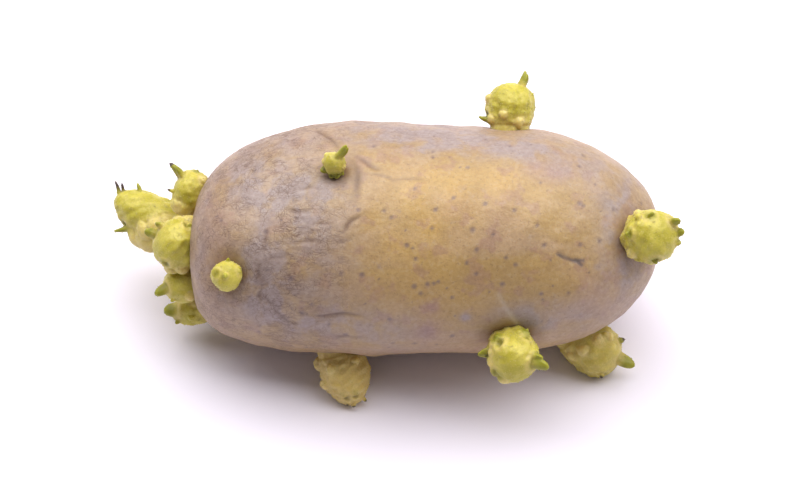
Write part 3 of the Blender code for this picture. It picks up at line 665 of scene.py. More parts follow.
skin_material, build, shader = new_material(
    "potato skin", Specular_IOR_Level=0.55, Subsurface_Weight=0.08, Subsurface_Radius=(1.0, 0.55, 0.25),
    Subsurface_Scale=0.0012,
)
place = build.add("ShaderNodeTexCoord").outputs["Object"]
drawn_out = build.stretched(place, (0.4, 1.2, 1.2))
clouds = build.group(mottling, Place=drawn_out, Clouds_per_metre=75.0, Contrast=1.7).outputs["Cloud"]
tints, flecks = build.group(mottling, Place=place, Clouds_per_metre=210.0, Contrast=2.2).outputs
colour = build.blend(build.span(clouds, 0.3, 0.7), OCHRE, TAN)
colour = build.laid_over(colour, (("gold", 0.85, GOLD),))
greyed = build.times(build.stored("grey"), build.span(tints, 0.15, 0.75, 0.35, 1.1))
greyed = build.plus(greyed, build.span(tints, 0.78, 1.1, 0.0, 0.35))
for share, layer in (
    (build.times(build.stored("pink"), build.span(tints, 0.1, 0.7, 0.5, 1.0)), PINK),
    (build.span(build.noise(place, 230.0, 2.0, 0.55), 0.55, 0.66, 0.0, 0.38), PINK),
    (build.math("MINIMUM", greyed, 0.92), GREY),
    (build.span(flecks, 0.2, 0.6, 0.13, 0.0), CRACK_AND_CREASE_SHADE_BROWN),
    (build.span(flecks, 0.5, 0.95, 0.0, 0.15), HEALED_PALE),
    (build.span(build.noise(place, 1500.0, 2.0, 0.6), 0.6, 0.7, 0.0, 0.28), CRACK_AND_CREASE_SHADE_BROWN),
):
    colour = build.blend(share, colour, layer)
coarse_net = build.times(fine_net(build, place, 620.0, 0.055), 0.6)
cracks = build.plus(coarse_net, build.times(fine_net(build, place, 1350.0, 0.09), 0.5))
cracks = build.times(cracks, build.span(build.noise(place, 260.0, 3.0), 0.4, 0.58, 0.08, 1.0))
flow_lines = build.math("POWER", build.ridged(build.noise(drawn_out, 520.0, 3.0, 0.6, 0.6)), 2.0)
flow_lines = build.times(flow_lines, build.span(build.noise(place, 190.0, 2.0), 0.42, 0.6))
cracks = build.math("MAXIMUM", cracks, build.times(flow_lines, 0.8))
cracks = build.times(cracks, build.stored("slack"))
colour = build.blend(build.times(cracks, 0.8), colour, CRACK_AND_CREASE_SHADE_BROWN)
# Darker in wrinkles, folds and round the eyes as painted shade; the pores, healed crack and scrapes are the
# skin's own colour
colour = build.laid_over(colour, (
    ("wrinkle_shade", 0.3, CRACK_AND_CREASE_SHADE_BROWN), ("crease", 0.72, CRACK_AND_CREASE_SHADE_BROWN), ("pore", 0.75, PORE_GREY),
    ("eye", 0.55, EYE_SHADE_BROWN), ("healed", 0.8, HEALED_PALE), ("scraped", 0.85, SCRAPE_GREY),
))
build.link(colour, shader.inputs["Base Color"])
pebbled = build.group(grain, Place=place, Grains_per_metre=2200.0)
bump_from(build, shader, build.minus(pebbled.outputs["Height"], build.times(cracks, 0.55)), 0.4, 0.00025)
build.link(build.span(tints, 0.1, 0.9, 0.38, 0.56), shader.inputs["Roughness"])

tuber = show("tuber_skin", tuber_mesh)
dress(tuber, slack_skin, Wrinkle_depth=0.00009, Wrinkles_per_metre=300.0, Unevenness=0.0003, Lowest=0.0,
      Material=skin_material)
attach(tuber, "root")
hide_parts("tuber")


# The sprout on the low front eye: short, thick, seen end on. A sprout is one soft stem that has swollen in
# the light, with bud leaves at its end, scale leaves whose bases run down it as ridges, and round cream
# swellings where roots are about to break out. All of it grew together.

NECK, WIDEST = 0.82, 0.44
ROOT_DEPTH = 0.0025
BOW = 0.1
STEM_SIDES, STEM_RINGS = 72, 56
LOBE_HEIGHT = 0.025
LEAF_SIDES, LEAF_RINGS = 24, 20
KNOB_SIDES, KNOB_RINGS = 18, 12
CELL = 0.00016

# A leaf starts at this share of the stem's radius, and its end bends up the stem this share of its length.
# From this share of the stem on it is a bud leaf
LEAF_SEAT, LEAF_BEND = 0.6, 0.22
BUD_SHARE = 0.7

# Round a leaf, in its widths: a ridge's height and width, a pit's depth and width, and the pit's rim
RIDGE_HEIGHT, RIDGE_WIDTH = 0.14, 0.42
PIT_DEPTH, PIT_WIDTH = 0.4, 0.33
RIM_HEIGHT, RIM_PLACE, RIM_WIDTH = 0.1, 0.65, 0.25

# A knob's foot is sunk this share of its radius
KNOB_SUNK = 0.4

# How bluntly a leaf ends and how thick it is for its width
BUD_LEAF, SCALE_LEAF = (5.5, 0.85), (2.6, 0.7)

# Leaves narrower than this have weaker ridges and pits, or weaker colour round them
FULL_RELIEF_WIDTH, FULL_COLOUR_WIDTH = 0.0022, 0.0021

# Sprouts that reach the ground are pressed flat just above it
GROUND_GAP = 0.0003


class Stem:
    """The middle line of a sprout, its thickness, and the frame that angles round it are counted in."""

    def __init__(self, root, tip, girth, power):
        direction = direction_of(root)
        self.root = Vector(round_body(direction)[0])
        self.tip = as_vector(tip)
        self.length = (self.tip - self.root).length
        bow = Vector(outward(direction)[0]) * self.length * BOW
        self.bend = self.root.lerp(self.tip, 0.4) + bow
        self.half_girth = girth / 2
        self.power = power

    def point(self, share):
        if share < 0:
            return self.root + (self.bend - self.root) * 2 * share
        return self.root.lerp(self.bend, share).lerp(self.bend.lerp(self.tip, share), share)

    def tangent(self, share):
        return (self.point(share + 0.01) - self.point(share - 0.01)).normalized()

    def radius(self, share):
        if share < WIDEST:
            width = NECK + (1 - NECK) * math.sqrt(1 - ((WIDEST - max(share, 0)) / WIDEST) ** 2)
        else:
            width = max(0, 1 - ((share - WIDEST) / (1 - WIDEST)) ** self.power) ** 0.5
        return self.half_girth * width

    def side(self, share, direction):
        along = self.tangent(share)
        out = direction - along * direction.dot(along)
        return out.normalized() if out.length > 0.05 * direction.length else along.orthogonal().normalized()

    def seat(self, share, direction, depth=1.0):
        """The place on the surface on this side, or under it at a share of the radius."""
        return self.point(share) + self.side(share, direction) * self.radius(share) * depth

    def pit(self, share, direction):
        """The axil just above a leaf."""
        return np.array(self.seat(min(share + 0.1, 0.97), self.side(share, direction)))

    def leaf_line(self, share, toward, length):
        """A leaf's start in the stem, its whole length, and how far its end has bent up the stem."""
        curl = (self.tangent(share) - self.side(share, toward) * 0.6) * length * LEAF_BEND
        return self.seat(share, toward, LEAF_SEAT), length + (1 - LEAF_SEAT) * self.radius(share), curl


def circle(middle, count, across, over, reach):
    """A ring of points round a middle; reach gives each angle's distance."""
    ring = []
    for i in range(count):
        angle = math.tau * i / count
        ring.append(middle + (across * math.cos(angle) + over * math.sin(angle)) * reach(angle))
    return ring


def tube(start, rings, end):
    """Points and faces of a closed tube through rings of points."""
    count = len(rings[0])
    points = [start, end] + [point for ring in rings for point in ring]
    faces = []
    for i in range(count):
        j = (i + 1) % count
        faces.append((0, 2 + j, 2 + i))
        last = 2 + count * (len(rings) - 1)
        faces.append((1, last + i, last + j))
        for k in range(len(rings) - 1):
            low, high = 2 + count * k, 2 + count * (k + 1)
            faces.append((low + i, low + j, high + j, high + i))
    return np.array([tuple(point) for point in points]), faces


def stem_form(stem, leaves, ribs, draw):
    """The stem with three soft lobes, blunt ribs, a ridge below each leaf and a pit above it."""
    rib_count, rib_height = ribs
    turn = draw.uniform(0, math.tau)
    first = -ROOT_DEPTH / stem.length
    shares = [first - first * i / 4 for i in range(4)]
    shares += [math.sin(math.pi / 2 * i / STEM_RINGS) for i in range(STEM_RINGS)]
    rings, outs = [], []
    for share in shares:
        middle, along = stem.point(share), stem.tangent(share)
        across = along.cross(Vector((0.31, 0.52, 0.79))).normalized()
        over = along.cross(across)
        ring = []
        for i in range(STEM_SIDES):
            angle = math.tau * i / STEM_SIDES
            lobes = 1 + LOBE_HEIGHT * math.sin(3 * angle + 4 * share)
            between = abs(math.sin(rib_count / 2 * (angle + turn) + 1.1 * share))
            lobes += rib_height * (0.5 - between) * (1 - min(max(share, 0), 1) ** 5)
            out = across * math.cos(angle) + over * math.sin(angle)
            ring.append(middle + out * stem.radius(share) * lobes)
            outs.append(tuple(out))
        rings.append(ring)
    points, faces = tube(stem.point(first), rings, stem.tip)
    outs = np.array([tuple(-stem.tangent(0)), tuple(stem.tangent(0.99)), *outs])
    unevenness = 0.0002 * min(1, stem.half_girth / 0.0052) ** 2
    rise = unevenness * (ripple(points, 0.0026, draw.random()) + 0.2 * ripple(points, 0.0011, draw.random()))
    for along_share, toward, length, width in leaves:
        side = stem.side(along_share, toward)
        line = [np.array(stem.seat(along_share * (1 - step / 7), side)) for step in range(7)]
        distance, down, _ = along_line(points, line)
        gap = away(points, stem.pit(along_share, toward))
        size = min(1, width / FULL_RELIEF_WIDTH) ** 2 * width
        rise += RIDGE_HEIGHT * size * bell(distance, RIDGE_WIDTH * width) * (1 - down) ** 0.7
        rise -= PIT_DEPTH * size * bell(gap, PIT_WIDTH * width)
        rise += RIM_HEIGHT * size * bell(gap - RIM_PLACE * width, RIM_WIDTH * width)
    return points + outs * rise[:, None], faces


def leaf_form(stem, leaf, draw):
    """A bud leaf near the tip is a thick blunt finger; a scale leaf lower down is a short pointed flap."""
    along_share, toward, length, width = leaf
    blunt, thickness = BUD_LEAF if along_share >= BUD_SHARE else SCALE_LEAF
    root, reach, curl = stem.leaf_line(along_share, toward, length)
    along, out = stem.tangent(along_share), stem.side(along_share, toward)
    around = along.cross(out)
    wide = (around - toward * around.dot(toward)).normalized()
    thick = toward.cross(wide).normalized()
    if thick.dot(along - out * 0.3) < 0:
        thick.negate()
    twist = draw.uniform(-0.25, 0.25)
    rings = []
    for i in range(LEAF_RINGS):
        share = i / LEAF_RINGS
        middle = root + toward * reach * share + curl * share**2
        half = width / 2 * (1.2 - 0.3 * share) * (1 - share**blunt) ** 0.6
        turn = twist * share
        w = wide * math.cos(turn) + thick * math.sin(turn)
        t = thick * math.cos(turn) - wide * math.sin(turn)
        ring = []
        for k in range(LEAF_SIDES):
            angle = math.tau * k / LEAF_SIDES
            x, y = math.cos(angle), math.sin(angle)
            keel = 1 + 0.1 * math.cos(3 * angle + math.pi / 2)
            hollowed = 0.3 * x * x * share - 0.3 * share * max(y, 0)
            ring.append(middle + w * half * x * keel + t * half * (thickness * y * keel + hollowed))
        rings.append(ring)
    tip = root + toward * reach * 0.99 + curl
    return tube(root - toward * width * 0.3, rings, tip)


def knob_form(stem, knob, draw):
    """A lumpy blunt dome with its foot sunk in the stem, where a root will come."""
    along_share, toward, radius = knob
    out = stem.side(along_share, toward)
    middle = stem.point(along_share) + out * (stem.radius(along_share) - KNOB_SUNK * radius)
    across = out.orthogonal().normalized()
    over = out.cross(across)
    phase = draw.uniform(0, math.tau)
    rings = []
    for i in range(1, KNOB_RINGS):
        slope = math.pi * i / KNOB_RINGS
        ring = []
        for k in range(KNOB_SIDES):
            angle = math.tau * k / KNOB_SIDES
            lump = 0.1 * math.sin(2 * angle + phase) + 0.13 * math.sin(3 * angle + 2.3 * phase)
            lump = 1 + (lump + 0.08 * math.sin(5 * angle + phase + 3 * slope)) * math.sin(slope)
            spoke = across * math.cos(angle) + over * math.sin(angle)
            ring.append(middle - out * radius * math.cos(slope) + spoke * radius * math.sin(slope) * lump)
        rings.append(ring)
    return tube(middle - out * radius, rings, middle + out * radius * 0.94)


def scattered_knobs(name, count):
    shake = random.Random(name)
    turn = shake.uniform(0, math.tau)
    knobs = []
    for i in range(count):
        angle = turn + math.tau * i / count + shake.uniform(-0.4, 0.4)
        toward = (math.cos(angle), math.sin(angle) * 0.8, math.sin(angle + 0.9))
        knobs.append((shake.uniform(0.12, 0.5), toward, shake.uniform(0.7, 1.1)))
    return knobs


def ready(rows):
    """The rows with their ways as unit vectors and their sizes in metres."""
    return [
        (share, as_vector(way).normalized(), *(size / 1000 for size in sizes)) for share, way, *sizes in rows
    ]


# A sprout's surface is a little rough, with small round glassy cells scattered over it
sprout_surface, build, given = new_group(
    "sprout surface", "GeometryNodeTree",
    {"Geometry": "Geometry", "Bead radius": "Float", "Beads per square metre": "Float",
     "Roughness depth": "Float", "Lumps per metre": "Float", "Seed": "Int", "Material": "Material"},
    {"Geometry": "Geometry"},
)
position = build.add("GeometryNodeInputPosition")
lumps = build.minus(build.noise(position, given["Lumps per metre"], 2.0, 0.6), 0.5)
rough = build.raised(given["Geometry"], build.times(lumps, given["Roughness depth"]))
density = build.times(build.stored("bare"), given["Beads per square metre"])
scatter = build.add("GeometryNodeDistributePointsOnFaces", {"distribute_method": "RANDOM"}, Mesh=rough,
                    Density=density, Seed=given["Seed"])
ball = build.add("GeometryNodeMeshIcoSphere", None, Radius=given["Bead radius"], Subdivisions=1)
size = build.add("FunctionNodeRandomValue", {"data_type": "FLOAT"}, in_2=0.5, in_3=1.4, Seed=given["Seed"])
long_ball = build.add("ShaderNodeCombineXYZ", None, X=1.0, Y=1.0, Z=1.7)
stretch = build.add("ShaderNodeVectorMath", {"operation": "SCALE"}, in_0=long_ball, Scale=size.outputs[1])
# Each bead is marked so that the flesh is paler there: a painted glint.
placed = build.add("GeometryNodeInstanceOnPoints", None, Points=build.store(scatter, "bead_glint", 1.0),
                   Instance=ball, Rotation=scatter.outputs["Rotation"], Scale=stretch)
both = build.add("GeometryNodeJoinGeometry", None, Geometry=placed)
build.link(rough, both.inputs[0])
build.end_with(both, given["Material"])

YELLOW = linear(206, 193, 88)
LIME = linear(186, 174, 62)
CREAM = linear(224, 202, 134)
# Painted glint on the beads
BEAD_GLINT_PALE = linear(232, 222, 136)
LEAF_GREEN = linear(136, 138, 32)
# The axils' own green, darkened as painted shade in their pits
AXIL_GREEN_AND_SHADE = linear(92, 88, 20)
# The sprouts' own tan, made paler than it is: on the front foot this is painted light that lifts it out of
# its shade
PALE_TAN_AND_FILL = linear(212, 182, 116)
TIP_BROWN = linear(60, 42, 48)

sprout_material, build, shader = new_material(
    "sprout flesh", Roughness=0.45, Specular_IOR_Level=0.4, Subsurface_Weight=0.5,
    Subsurface_Radius=(1.0, 0.9, 0.25), Subsurface_Scale=0.0022,
)
place = build.add("ShaderNodeTexCoord").outputs["Object"]
greens, flecks = build.group(mottling, Place=place, Clouds_per_metre=260.0, Contrast=1.8).outputs
colour = build.blend(build.span(greens, 0.2, 0.8), YELLOW, LIME)
colour = build.blend(build.span(flecks, 0.55, 1.0, 0.0, 0.3), colour, CREAM)
colour = build.laid_over(colour, (
    ("tan", 1.0, PALE_TAN_AND_FILL), ("bead_glint", 0.4, BEAD_GLINT_PALE), ("cream", 0.85, CREAM), ("leaf", 0.85, LEAF_GREEN),
    ("axil", 0.85, AXIL_GREEN_AND_SHADE), ("dark", 1.0, TIP_BROWN),
))
pebbled = build.group(grain, Place=place, Grains_per_metre=2600.0)
colour = build.blend(build.span(pebbled.outputs["Grain"], 0.35, 0.6, 0.14, 0.0), colour, LEAF_GREEN)
build.link(colour, shader.inputs["Base Color"])
bump_from(build, shader, pebbled.outputs["Height"], 0.4, 0.0003)


def grow_sprout(name, tip, girth, power, leaves, knobs=(), small_knobs=5, ribs=(6, 0.05), dark_tips=(),
                dark_length=0.0012, tan=0.0):
    """One sprout as one mesh, its root sunk in the tuber. A leaf is share along the stem, way, and length and
    width in millimetres; a knob is share along the stem, way and radius in millimetres."""
    draw = random.Random(name + " form")
    stem = Stem(SPROUTED_EYES[name][0], tip, girth, power)
    leaves, knobs = ready(leaves), ready(knobs)
    forms = [stem_form(stem, leaves, ribs, draw)]
    forms += [leaf_form(stem, leaf, draw) for leaf in leaves]
    forms += [knob_form(stem, knob, draw) for knob in (*knobs, *ready(scattered_knobs(name, small_knobs)))]
    points, faces = [], []
    for form_points, form_faces in forms:
        start = sum(len(part) for part in points)
        points.append(form_points)
        faces += [tuple(corner + start for corner in face) for face in form_faces]
    mesh = bpy.data.meshes.new(name)
    mesh.from_pydata((np.concatenate(points) + np.array(tuber_middle)).tolist(), [], faces)
    repair = bmesh.new()
    repair.from_mesh(mesh)
    bmesh.ops.recalc_face_normals(repair, faces=repair.faces)
    repair.to_mesh(mesh)
    repair.free()
    sprout = show(name.replace("sprout", "shoot"), mesh)
    fused = sprout.modifiers.new("grown together", "REMESH")
    fused.mode = "VOXEL"
    fused.voxel_size = CELL
    eased = sprout.modifiers.new("eased", "SMOOTH")
    eased.factor = 0.5
    eased.iterations = 3
    mesh = finished(sprout)

    spots = np.empty(len(mesh.vertices) * 3)
    mesh.vertices.foreach_get("co", spots)
    spots = spots.reshape(-1, 3)
    spots[:, 2] = np.maximum(spots[:, 2], GROUND_GAP)
    mesh.vertices.foreach_set("co", spots.ravel())
    spots = spots - np.array(tuber_middle)

    along = (spots - np.array(stem.root)) @ np.array((stem.tip - stem.root).normalized()) / stem.length
    green, axil, rims, dark = (np.zeros(len(spots)) for _ in range(4))
    for number, (along_share, toward, length, width) in enumerate(leaves):
        base, reach, curl = stem.leaf_line(along_share, toward, length)
        offset = spots - np.array(base)
        forth = offset @ np.array(toward)
        bent = np.clip(forth / reach, 0, 1)[:, None] ** 2 * np.array(curl)
        aside = away(offset, forth[:, None] * np.array(toward) + bent)
        on_leaf = soft_step(reach - 1.3 * length, reach - 0.5 * length, forth)
        on_leaf *= (1 - soft_step(0.5 * width, width, aside)) * min(1, length / 0.0010)
        green = np.maximum(green, on_leaf)
        gap = away(spots, stem.pit(along_share, toward))
        strength = min(1, width / FULL_COLOUR_WIDTH) ** 2
        # Each pit above a leaf gets a dark green: the green is the plant's own, the darkness painted shade.
        axil = np.maximum(axil, strength * bell(gap, 0.4 * width))
        rims = np.maximum(rims, strength * bell(gap - 0.72 * width, 0.25 * width))
        if number in dark_tips:
            end = soft_step(reach - dark_length, reach - 0.35 * dark_length, forth)
            dark = np.maximum(dark, end * (1 - soft_step(0.9 * width, 1.2 * width, aside)))
    cream = np.maximum(0.3 * (1 - soft_step(0.0, 0.35, along)), 0.6 * rims)
    for along_share, toward, radius in knobs:
        gap = away(spots, np.array(stem.seat(along_share, toward)))
        cream = np.maximum(cream, 0.85 * (1 - soft_step(0.6 * radius, 1.6 * radius, gap)))
    set_values(mesh, {
        "leaf": green, "axil": axil, "dark": dark, "cream": cream * (1 - green),
        "tan": np.maximum(tan, 0.25 * (1 - soft_step(0.0, 0.3, along))), "bare": (along > -0.02) * 1.0,
    })
    dress(sprout, sprout_surface, Bead_radius=0.00009, Beads_per_square_metre=1.2e6, Roughness_depth=0.00018,
          Lumps_per_metre=1500.0, Seed=len(name), Material=sprout_material)
    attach(sprout, "root")
    return sprout


front_left = grow_sprout(
    "sprout_front_left", tip=(-0.0417, -0.008, 0.0242), girth=0.0065, power=2.6,
    small_knobs=0, ribs=(30, 0.024),
    leaves=(
        (0.97, (-0.3, 0.05, 1), 0.7, 1.3), (0.68, (-1, 0.25, 0.5), 0.2, 1.7),
        (0.66, (1, 0.3, 0.3), 0.3, 1.7), (0.45, (0.15, 1, 0.3), 1, 1.2),
    ),
)
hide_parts("sprout_front_left")


# The small sprout on the upper face: a round body with one long forked bud and a ruff of green scale leaves
# round its foot.

upper = grow_sprout(
    "sprout_upper", tip=(-0.0199, 0.0166, 0.0254), girth=0.0046, power=2.4, small_knobs=0,
    leaves=(
        (0.86, (0.58, 0.57, 0.4), 3.7, 1.4), (0.78, (0.64, 0.52, 0.36), 3.1, 1.3),
        (0.4, (-0.5, 0.9, 0.2), 0.6, 1.4), (0.2, (-0.9, -0.4, 0.2), 1.6, 2), (0.2, (-0.3, -1, 0.3), 1.2, 2),
        (0.22, (0.15, -1, 0.4), 1.3, 1.9), (0.32, (-0.05, -0.9, 0.6), 0.7, 1.7),
        (0.2, (0.6, -0.8, 0.15), 0.9, 1.3),
    ),
    knobs=(
        (0.52, (-1, 0.2, 0.3), 0.8), (0.6, (-0.8, 0.8, 0.2), 0.9), (0.5, (0.9, -0.4, 0.2), 0.7),
    ),
)
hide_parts("sprout_upper")


# The sprout on the back edge: a barrel that stands up over the outline, with a slender bud.

top = grow_sprout(
    "sprout_top", tip=(0.0189, 0.035, -0.0006), girth=0.0107, power=2.3, small_knobs=0, ribs=(5, 0.03),
    leaves=(
        (0.88, (0.46, 1, 0), 2.4, 1.8), (0.85, (0.6, 1, 0.1), 2, 1.7), (0.66, (1, 0.35, 0.2), 0.6, 1.4),
        (0.4, (1, 0.1, 0.1), 0.6, 1.5), (0.1, (-1, 0.05, 0.2), 2.8, 2.4),
    ),
    knobs=(
        (0.62, (-1, 0.4, 0.2), 1.2), (0.14, (-0.9, 0.1, 0.5), 1.3), (0.24, (-0.35, 0, 1), 1.1),
        (0.08, (0.4, 0, 0.9), 1.3),
    ),
)
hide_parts("sprout_top")


# The thick sprout at the heel end, with two pointed bud leaves on its outer side.

heel = grow_sprout(
    "sprout_heel", tip=(0.0512, 0.0008, 0.0232), girth=0.0113, power=2.6, small_knobs=3, ribs=(5, 0.09),
    leaves=(
        (0.8, (0.75, 0.4, 0.75), 1.5, 2.2), (0.74, (0.9, 0.12, 0.75), 1.3, 2),
        (0.7, (0.9, -0.15, 0.6), 0.6, 1.7), (0.62, (-0.05, 1, 1), 1.1, 2.3),
        (0.55, (0.1, -1, 0.5), 1.1, 2.3), (0.35, (-1, 0.1, 0.7), 1.4, 1.8),
    ),
    knobs=(
        (0.22, (-0.7, -0.7, 0.3), 1.3), (0.25, (-0.3, 0.9, 0.2), 1.2),
    ),
)
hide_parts("sprout_heel")


# The thick sprout low on the front, the roughest of them, with a hooked bud and cream swellings underneath.

front_low = grow_sprout(
    "sprout_front_low", tip=(0.0198, -0.0283, 0.0218), girth=0.0104, power=2.8,
    small_knobs=2, ribs=(5, 0.09),
    leaves=(
        (0.8, (1, -0.1, 0.5), 3.2, 2.6), (0.76, (1, 0.2, 0.6), 2, 1.9), (0.62, (-0.55, -0.7, 0.5), 0.5, 2.2),
        (0.36, (0.5, 1, 0.15), 1.8, 1.8), (0.3, (-1, -0.05, 0.1), 3, 2.6),
        (0.38, (-0.7, 0.8, 0.3), 1.2, 2.2),
    ),
    knobs=(
        (0.72, (-0.4, -1, 0.2), 1.6), (0.64, (-0.8, -0.75, 0.3), 1.5), (0.6, (-0.1, -1, 0.2), 1.5),
        (0.54, (-1, -0.4, 0.4), 1.4), (0.46, (-0.9, 0, 0.5), 1.2), (0.35, (-0.9, 0.4, 0.4), 1.2),
    ),
)
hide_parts("sprout_front_low")


# Two sprouts grow from under the tuber and end just over the ground: one at the heel, one at the front.

heel_foot = grow_sprout(
    "sprout_heel_foot", tip=(0.0434, -0.0284, -0.005), girth=0.0118, power=2.7,
    small_knobs=4, dark_tips=(1, 2), dark_length=0.0006, tan=0.35,
    leaves=(
        (0.92, (1, -0.38, 0.35), 2.7, 2.9), (0.72, (1, 0.6, 0.4), 1.1, 2.1),
        (0.78, (-0.1, -1, 0.5), 0.5, 1.6),
    ),
    knobs=(
        (0.4, (-0.2, 0.6, 0.9), 1.4), (0.28, (-0.7, 0.2, 0.8), 1.4), (0.2, (-0.9, -0.2, 0.6), 1.3),
        (0.55, (0.1, 0.9, 0.7), 1.2),
    ),
)
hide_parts("sprout_heel_foot")

# The front foot is mostly tan: its own colour, and painted light that lifts it out of the shade under the
# tuber.
front_foot = grow_sprout(
    "sprout_front_foot", tip=(-0.0158, -0.0372, -0.0012), girth=0.0112, power=1.45,
    small_knobs=2, ribs=(5, 0.015), dark_tips=(0, 1, 2), dark_length=0.0004, tan=0.8,
    leaves=(
        (0.93, (0.25, -1, 0.35), 0.3, 1.2), (0.88, (0.9, -0.8, 0.2), 0.6, 1.1),
        (0.86, (-0.2, -0.9, 0.7), 0.3, 1.2), (0.72, (0.4, -0.4, 1), 0.3, 1.7),
        (0.7, (-0.22, -0.5, 1), 0.2, 1.8),
    ),
    knobs=(
        (0.1, (-1, 0.1, 0.1), 1.7), (0.22, (-0.5, 0.3, 0.8), 1.4), (0.45, (-0.9, -0.2, 0.4), 1.4),
    ),
)
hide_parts("sprout_front_foot")


# The bunch of five at the crown end. They grew from one cluster of eyes and press against one another; the
# long one has dried black at its tips.

crown_top = grow_sprout(
    "sprout_crown_top", tip=(-0.0566, 0.0122, -0.001), girth=0.0094, power=2.6,
    small_knobs=0, ribs=(5, 0.02), dark_tips=(0, 2), dark_length=0.0008,
    leaves=(
        (0.85, (-0.55, 0.85, 0.2), 2.7, 2), (0.8, (-0.4, 0.85, 0.5), 1.9, 1.7),
        (0.9, (-1, 0.3, 0.3), 0.6, 0.9), (0.35, (0.2, 1, 0.3), 0.8, 1.9),
    ),
    knobs=(
        (0.34, (0.1, -1, 0.1), 2.4), (0.5, (-0.05, -1, 0.2), 2.4), (0.62, (-0.2, -0.9, 0.5), 1.4),
        (0.16, (0.3, 0.7, 0.7), 1.2),
    ),
)
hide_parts("sprout_crown_top")

crown_long = grow_sprout(
    "sprout_crown_long", tip=(-0.0714, 0.0097, -0.011), girth=0.0113, power=2.2,
    small_knobs=1, ribs=(3, 0.012), dark_tips=(0, 1), dark_length=0.0028,
    leaves=(
        (0.985, (-0.1, 1, 0.1), 2.6, 1), (0.95, (0.05, 1, 0.3), 1.8, 0.9), (0.76, (-0.15, 1, 0.2), 1.9, 1.3),
        (0.67, (-1, -0.45, 0.2), 3.4, 2.5),
    ),
    knobs=(
        (0.57, (-0.6, -1, 0.2), 3.4), (0.48, (-0.2, -1, 0.4), 3.4), (0.52, (-0.2, -0.6, 0.9), 2.6),
        (0.46, (0, -0.2, 1), 2.3), (0.38, (0.1, 0.15, 1), 2.1), (0.28, (0.2, 0.3, 1), 1.9),
        (0.34, (0.2, -0.6, 0.8), 2.4), (0.3, (0.2, 0.9, 0.6), 1.4),
    ),
)
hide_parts("sprout_crown_long")

crown_middle = grow_sprout(
    "sprout_crown_middle", tip=(-0.0593, 0, 0.0078), girth=0.0112, power=2.6, small_knobs=0, ribs=(5, 0.07),
    leaves=(
        (0.85, (-1, 0.4, 0.35), 1.6, 2.2), (0.8, (-0.9, 0.65, 0.5), 0.9, 1.8),
        (0.6, (-0.6, -0.6, 0.6), 0.5, 2.1), (0.35, (0.5, 0.9, 0.6), 0.8, 1.9),
    ),
    knobs=(
        (0.14, (0, 1, -0.1), 3), (0.3, (-0.2, 1, 0), 2), (0.44, (-0.4, 1, -0.1), 1.8),
        (0.16, (0.3, 0.9, 0.6), 1.3), (0.4, (-0.4, -1, -0.1), 2.2), (0.25, (0.1, -1, 0.2), 1.8),
    ),
)
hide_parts("sprout_crown_middle")

crown_low = grow_sprout(
    "sprout_crown_low", tip=(-0.0584, -0.0124, 0.0005), girth=0.0082, power=2.3,
    small_knobs=1, ribs=(7, 0.05),
    leaves=(
        (0.8, (-1, -0.5, 0.2), 2, 2.4), (0.7, (-0.9, -0.8, 0.3), 0.6, 1.2),
    ),
    knobs=(
        (0.35, (0, -0.9, 0.6), 1.3), (0.3, (-0.3, 1, 0.3), 1.2),
    ),
)
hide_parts("sprout_crown_low")

crown_foot = grow_sprout(
    "sprout_crown_foot", tip=(-0.0582, -0.0168, -0.0082), girth=0.0068, power=2.2, small_knobs=3,
    leaves=(
        (0.8, (-1, 0, 0.2), 1.9, 3), (0.75, (-0.6, -0.8, 0.5), 0.9, 1.3),
    ),
    knobs=(
        (0.3, (0.2, 0.5, 0.9), 1.2),
    ),
)
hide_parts("sprout_crown_foot")


# Two small sprouts on the back, just broken out of their eyes.

back_upper = grow_sprout(
    "sprout_back_upper", tip=(-0.015, 0.0179, -0.0266), girth=0.006, power=2.4,
    leaves=(
        (0.9, (-0.3, 0.5, -1), 2.2, 1.8), (0.45, (1, 0.3, -0.4), 1.1, 1.6),
        (0.4, (-0.9, -0.4, -0.3), 1.1, 1.6),
    ),
)
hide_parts("sprout_back_upper")

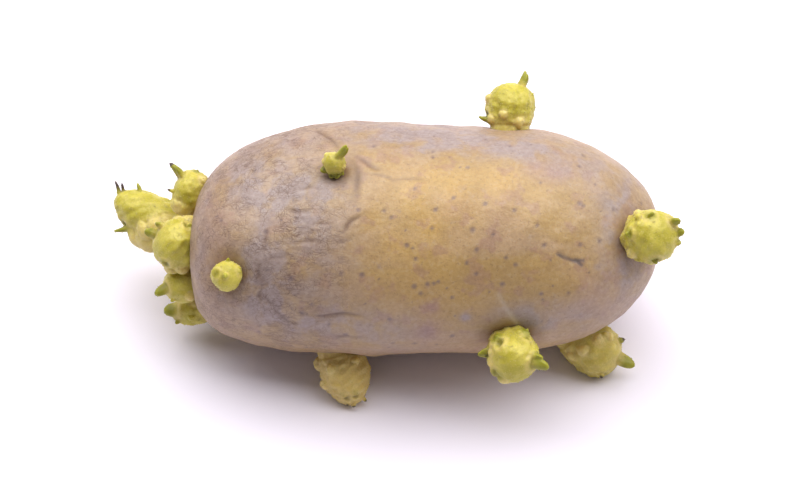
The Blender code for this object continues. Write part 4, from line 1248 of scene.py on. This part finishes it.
back_low = grow_sprout(
    "sprout_back_low", tip=(0.028, 0.0068, -0.0306), girth=0.0068, power=2.5,
    leaves=(
        (0.9, (0.4, 0.5, -1), 2.2, 1.9), (0.86, (0.1, 0.9, -0.8), 1.6, 1.5),
        (0.4, (-1, 0.3, -0.3), 1.2, 1.7),
    ),
)
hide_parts("sprout_back_low")


# The studio: a white floor, one broad soft lamp overhead and slightly behind, and pale light from all round.

floor_material, _, _ = new_material(
    "white floor", Base_Color=(0.92, 0.885, 1.0, 1), Roughness=0.9, Specular_IOR_Level=0.1,
)
floor_mesh = bpy.data.meshes.new("floor")
floor_mesh.from_pydata([(-3, -3, 0), (3, -3, 0), (3, 3, 0), (-3, 3, 0)], [], [(0, 1, 2, 3)])
floor_mesh.materials.append(floor_material)
floor = show("floor", floor_mesh)

lamp = bpy.data.lights.new("overhead lamp", "AREA")
lamp.shape = "RECTANGLE"
lamp.size = 2.0
lamp.size_y = 0.8
lamp.energy = 19.0
lamp.color = (1.0, 0.985, 0.975)
lamp_object = show("overhead lamp", lamp)
lamp_object.location = (0.05, 0.24, 0.75)
lamp_object.rotation_euler = (Vector((0, 0, 0.02)) - lamp_object.location).to_track_quat("-Z", "Y").to_euler()

world = bpy.data.worlds.new("pale room")
world.use_nodes = True
room = world.node_tree.nodes["Background"].inputs
room["Color"].default_value = (1.0, 0.95, 0.94, 1)
room["Strength"].default_value = 0.18
bpy.context.scene.world = world
bpy.context.scene.view_settings.view_transform = "Standard"

# The camera looks down at the front. The tuber's middle shows a little right of and above the frame's middle
FRAME_WIDTH, FRAME_HEIGHT = 809, 501
MIDDLE_ACROSS, MIDDLE_DOWN = 426.7, 238.6
camera_data = bpy.data.cameras.new("camera")
camera_data.sensor_width = 36
camera_data.lens = 85.3
camera_data.clip_start = 0.01
camera_data.shift_x = (FRAME_WIDTH / 2 - MIDDLE_ACROSS) / FRAME_WIDTH
camera_data.shift_y = (MIDDLE_DOWN - FRAME_HEIGHT / 2) / FRAME_WIDTH
camera = show("camera", camera_data)
camera.location = tuber_middle + NEAR * VIEW_DISTANCE
camera.rotation_euler = (-NEAR).to_track_quat("-Z", "Y").to_euler()
bpy.context.scene.camera = camera
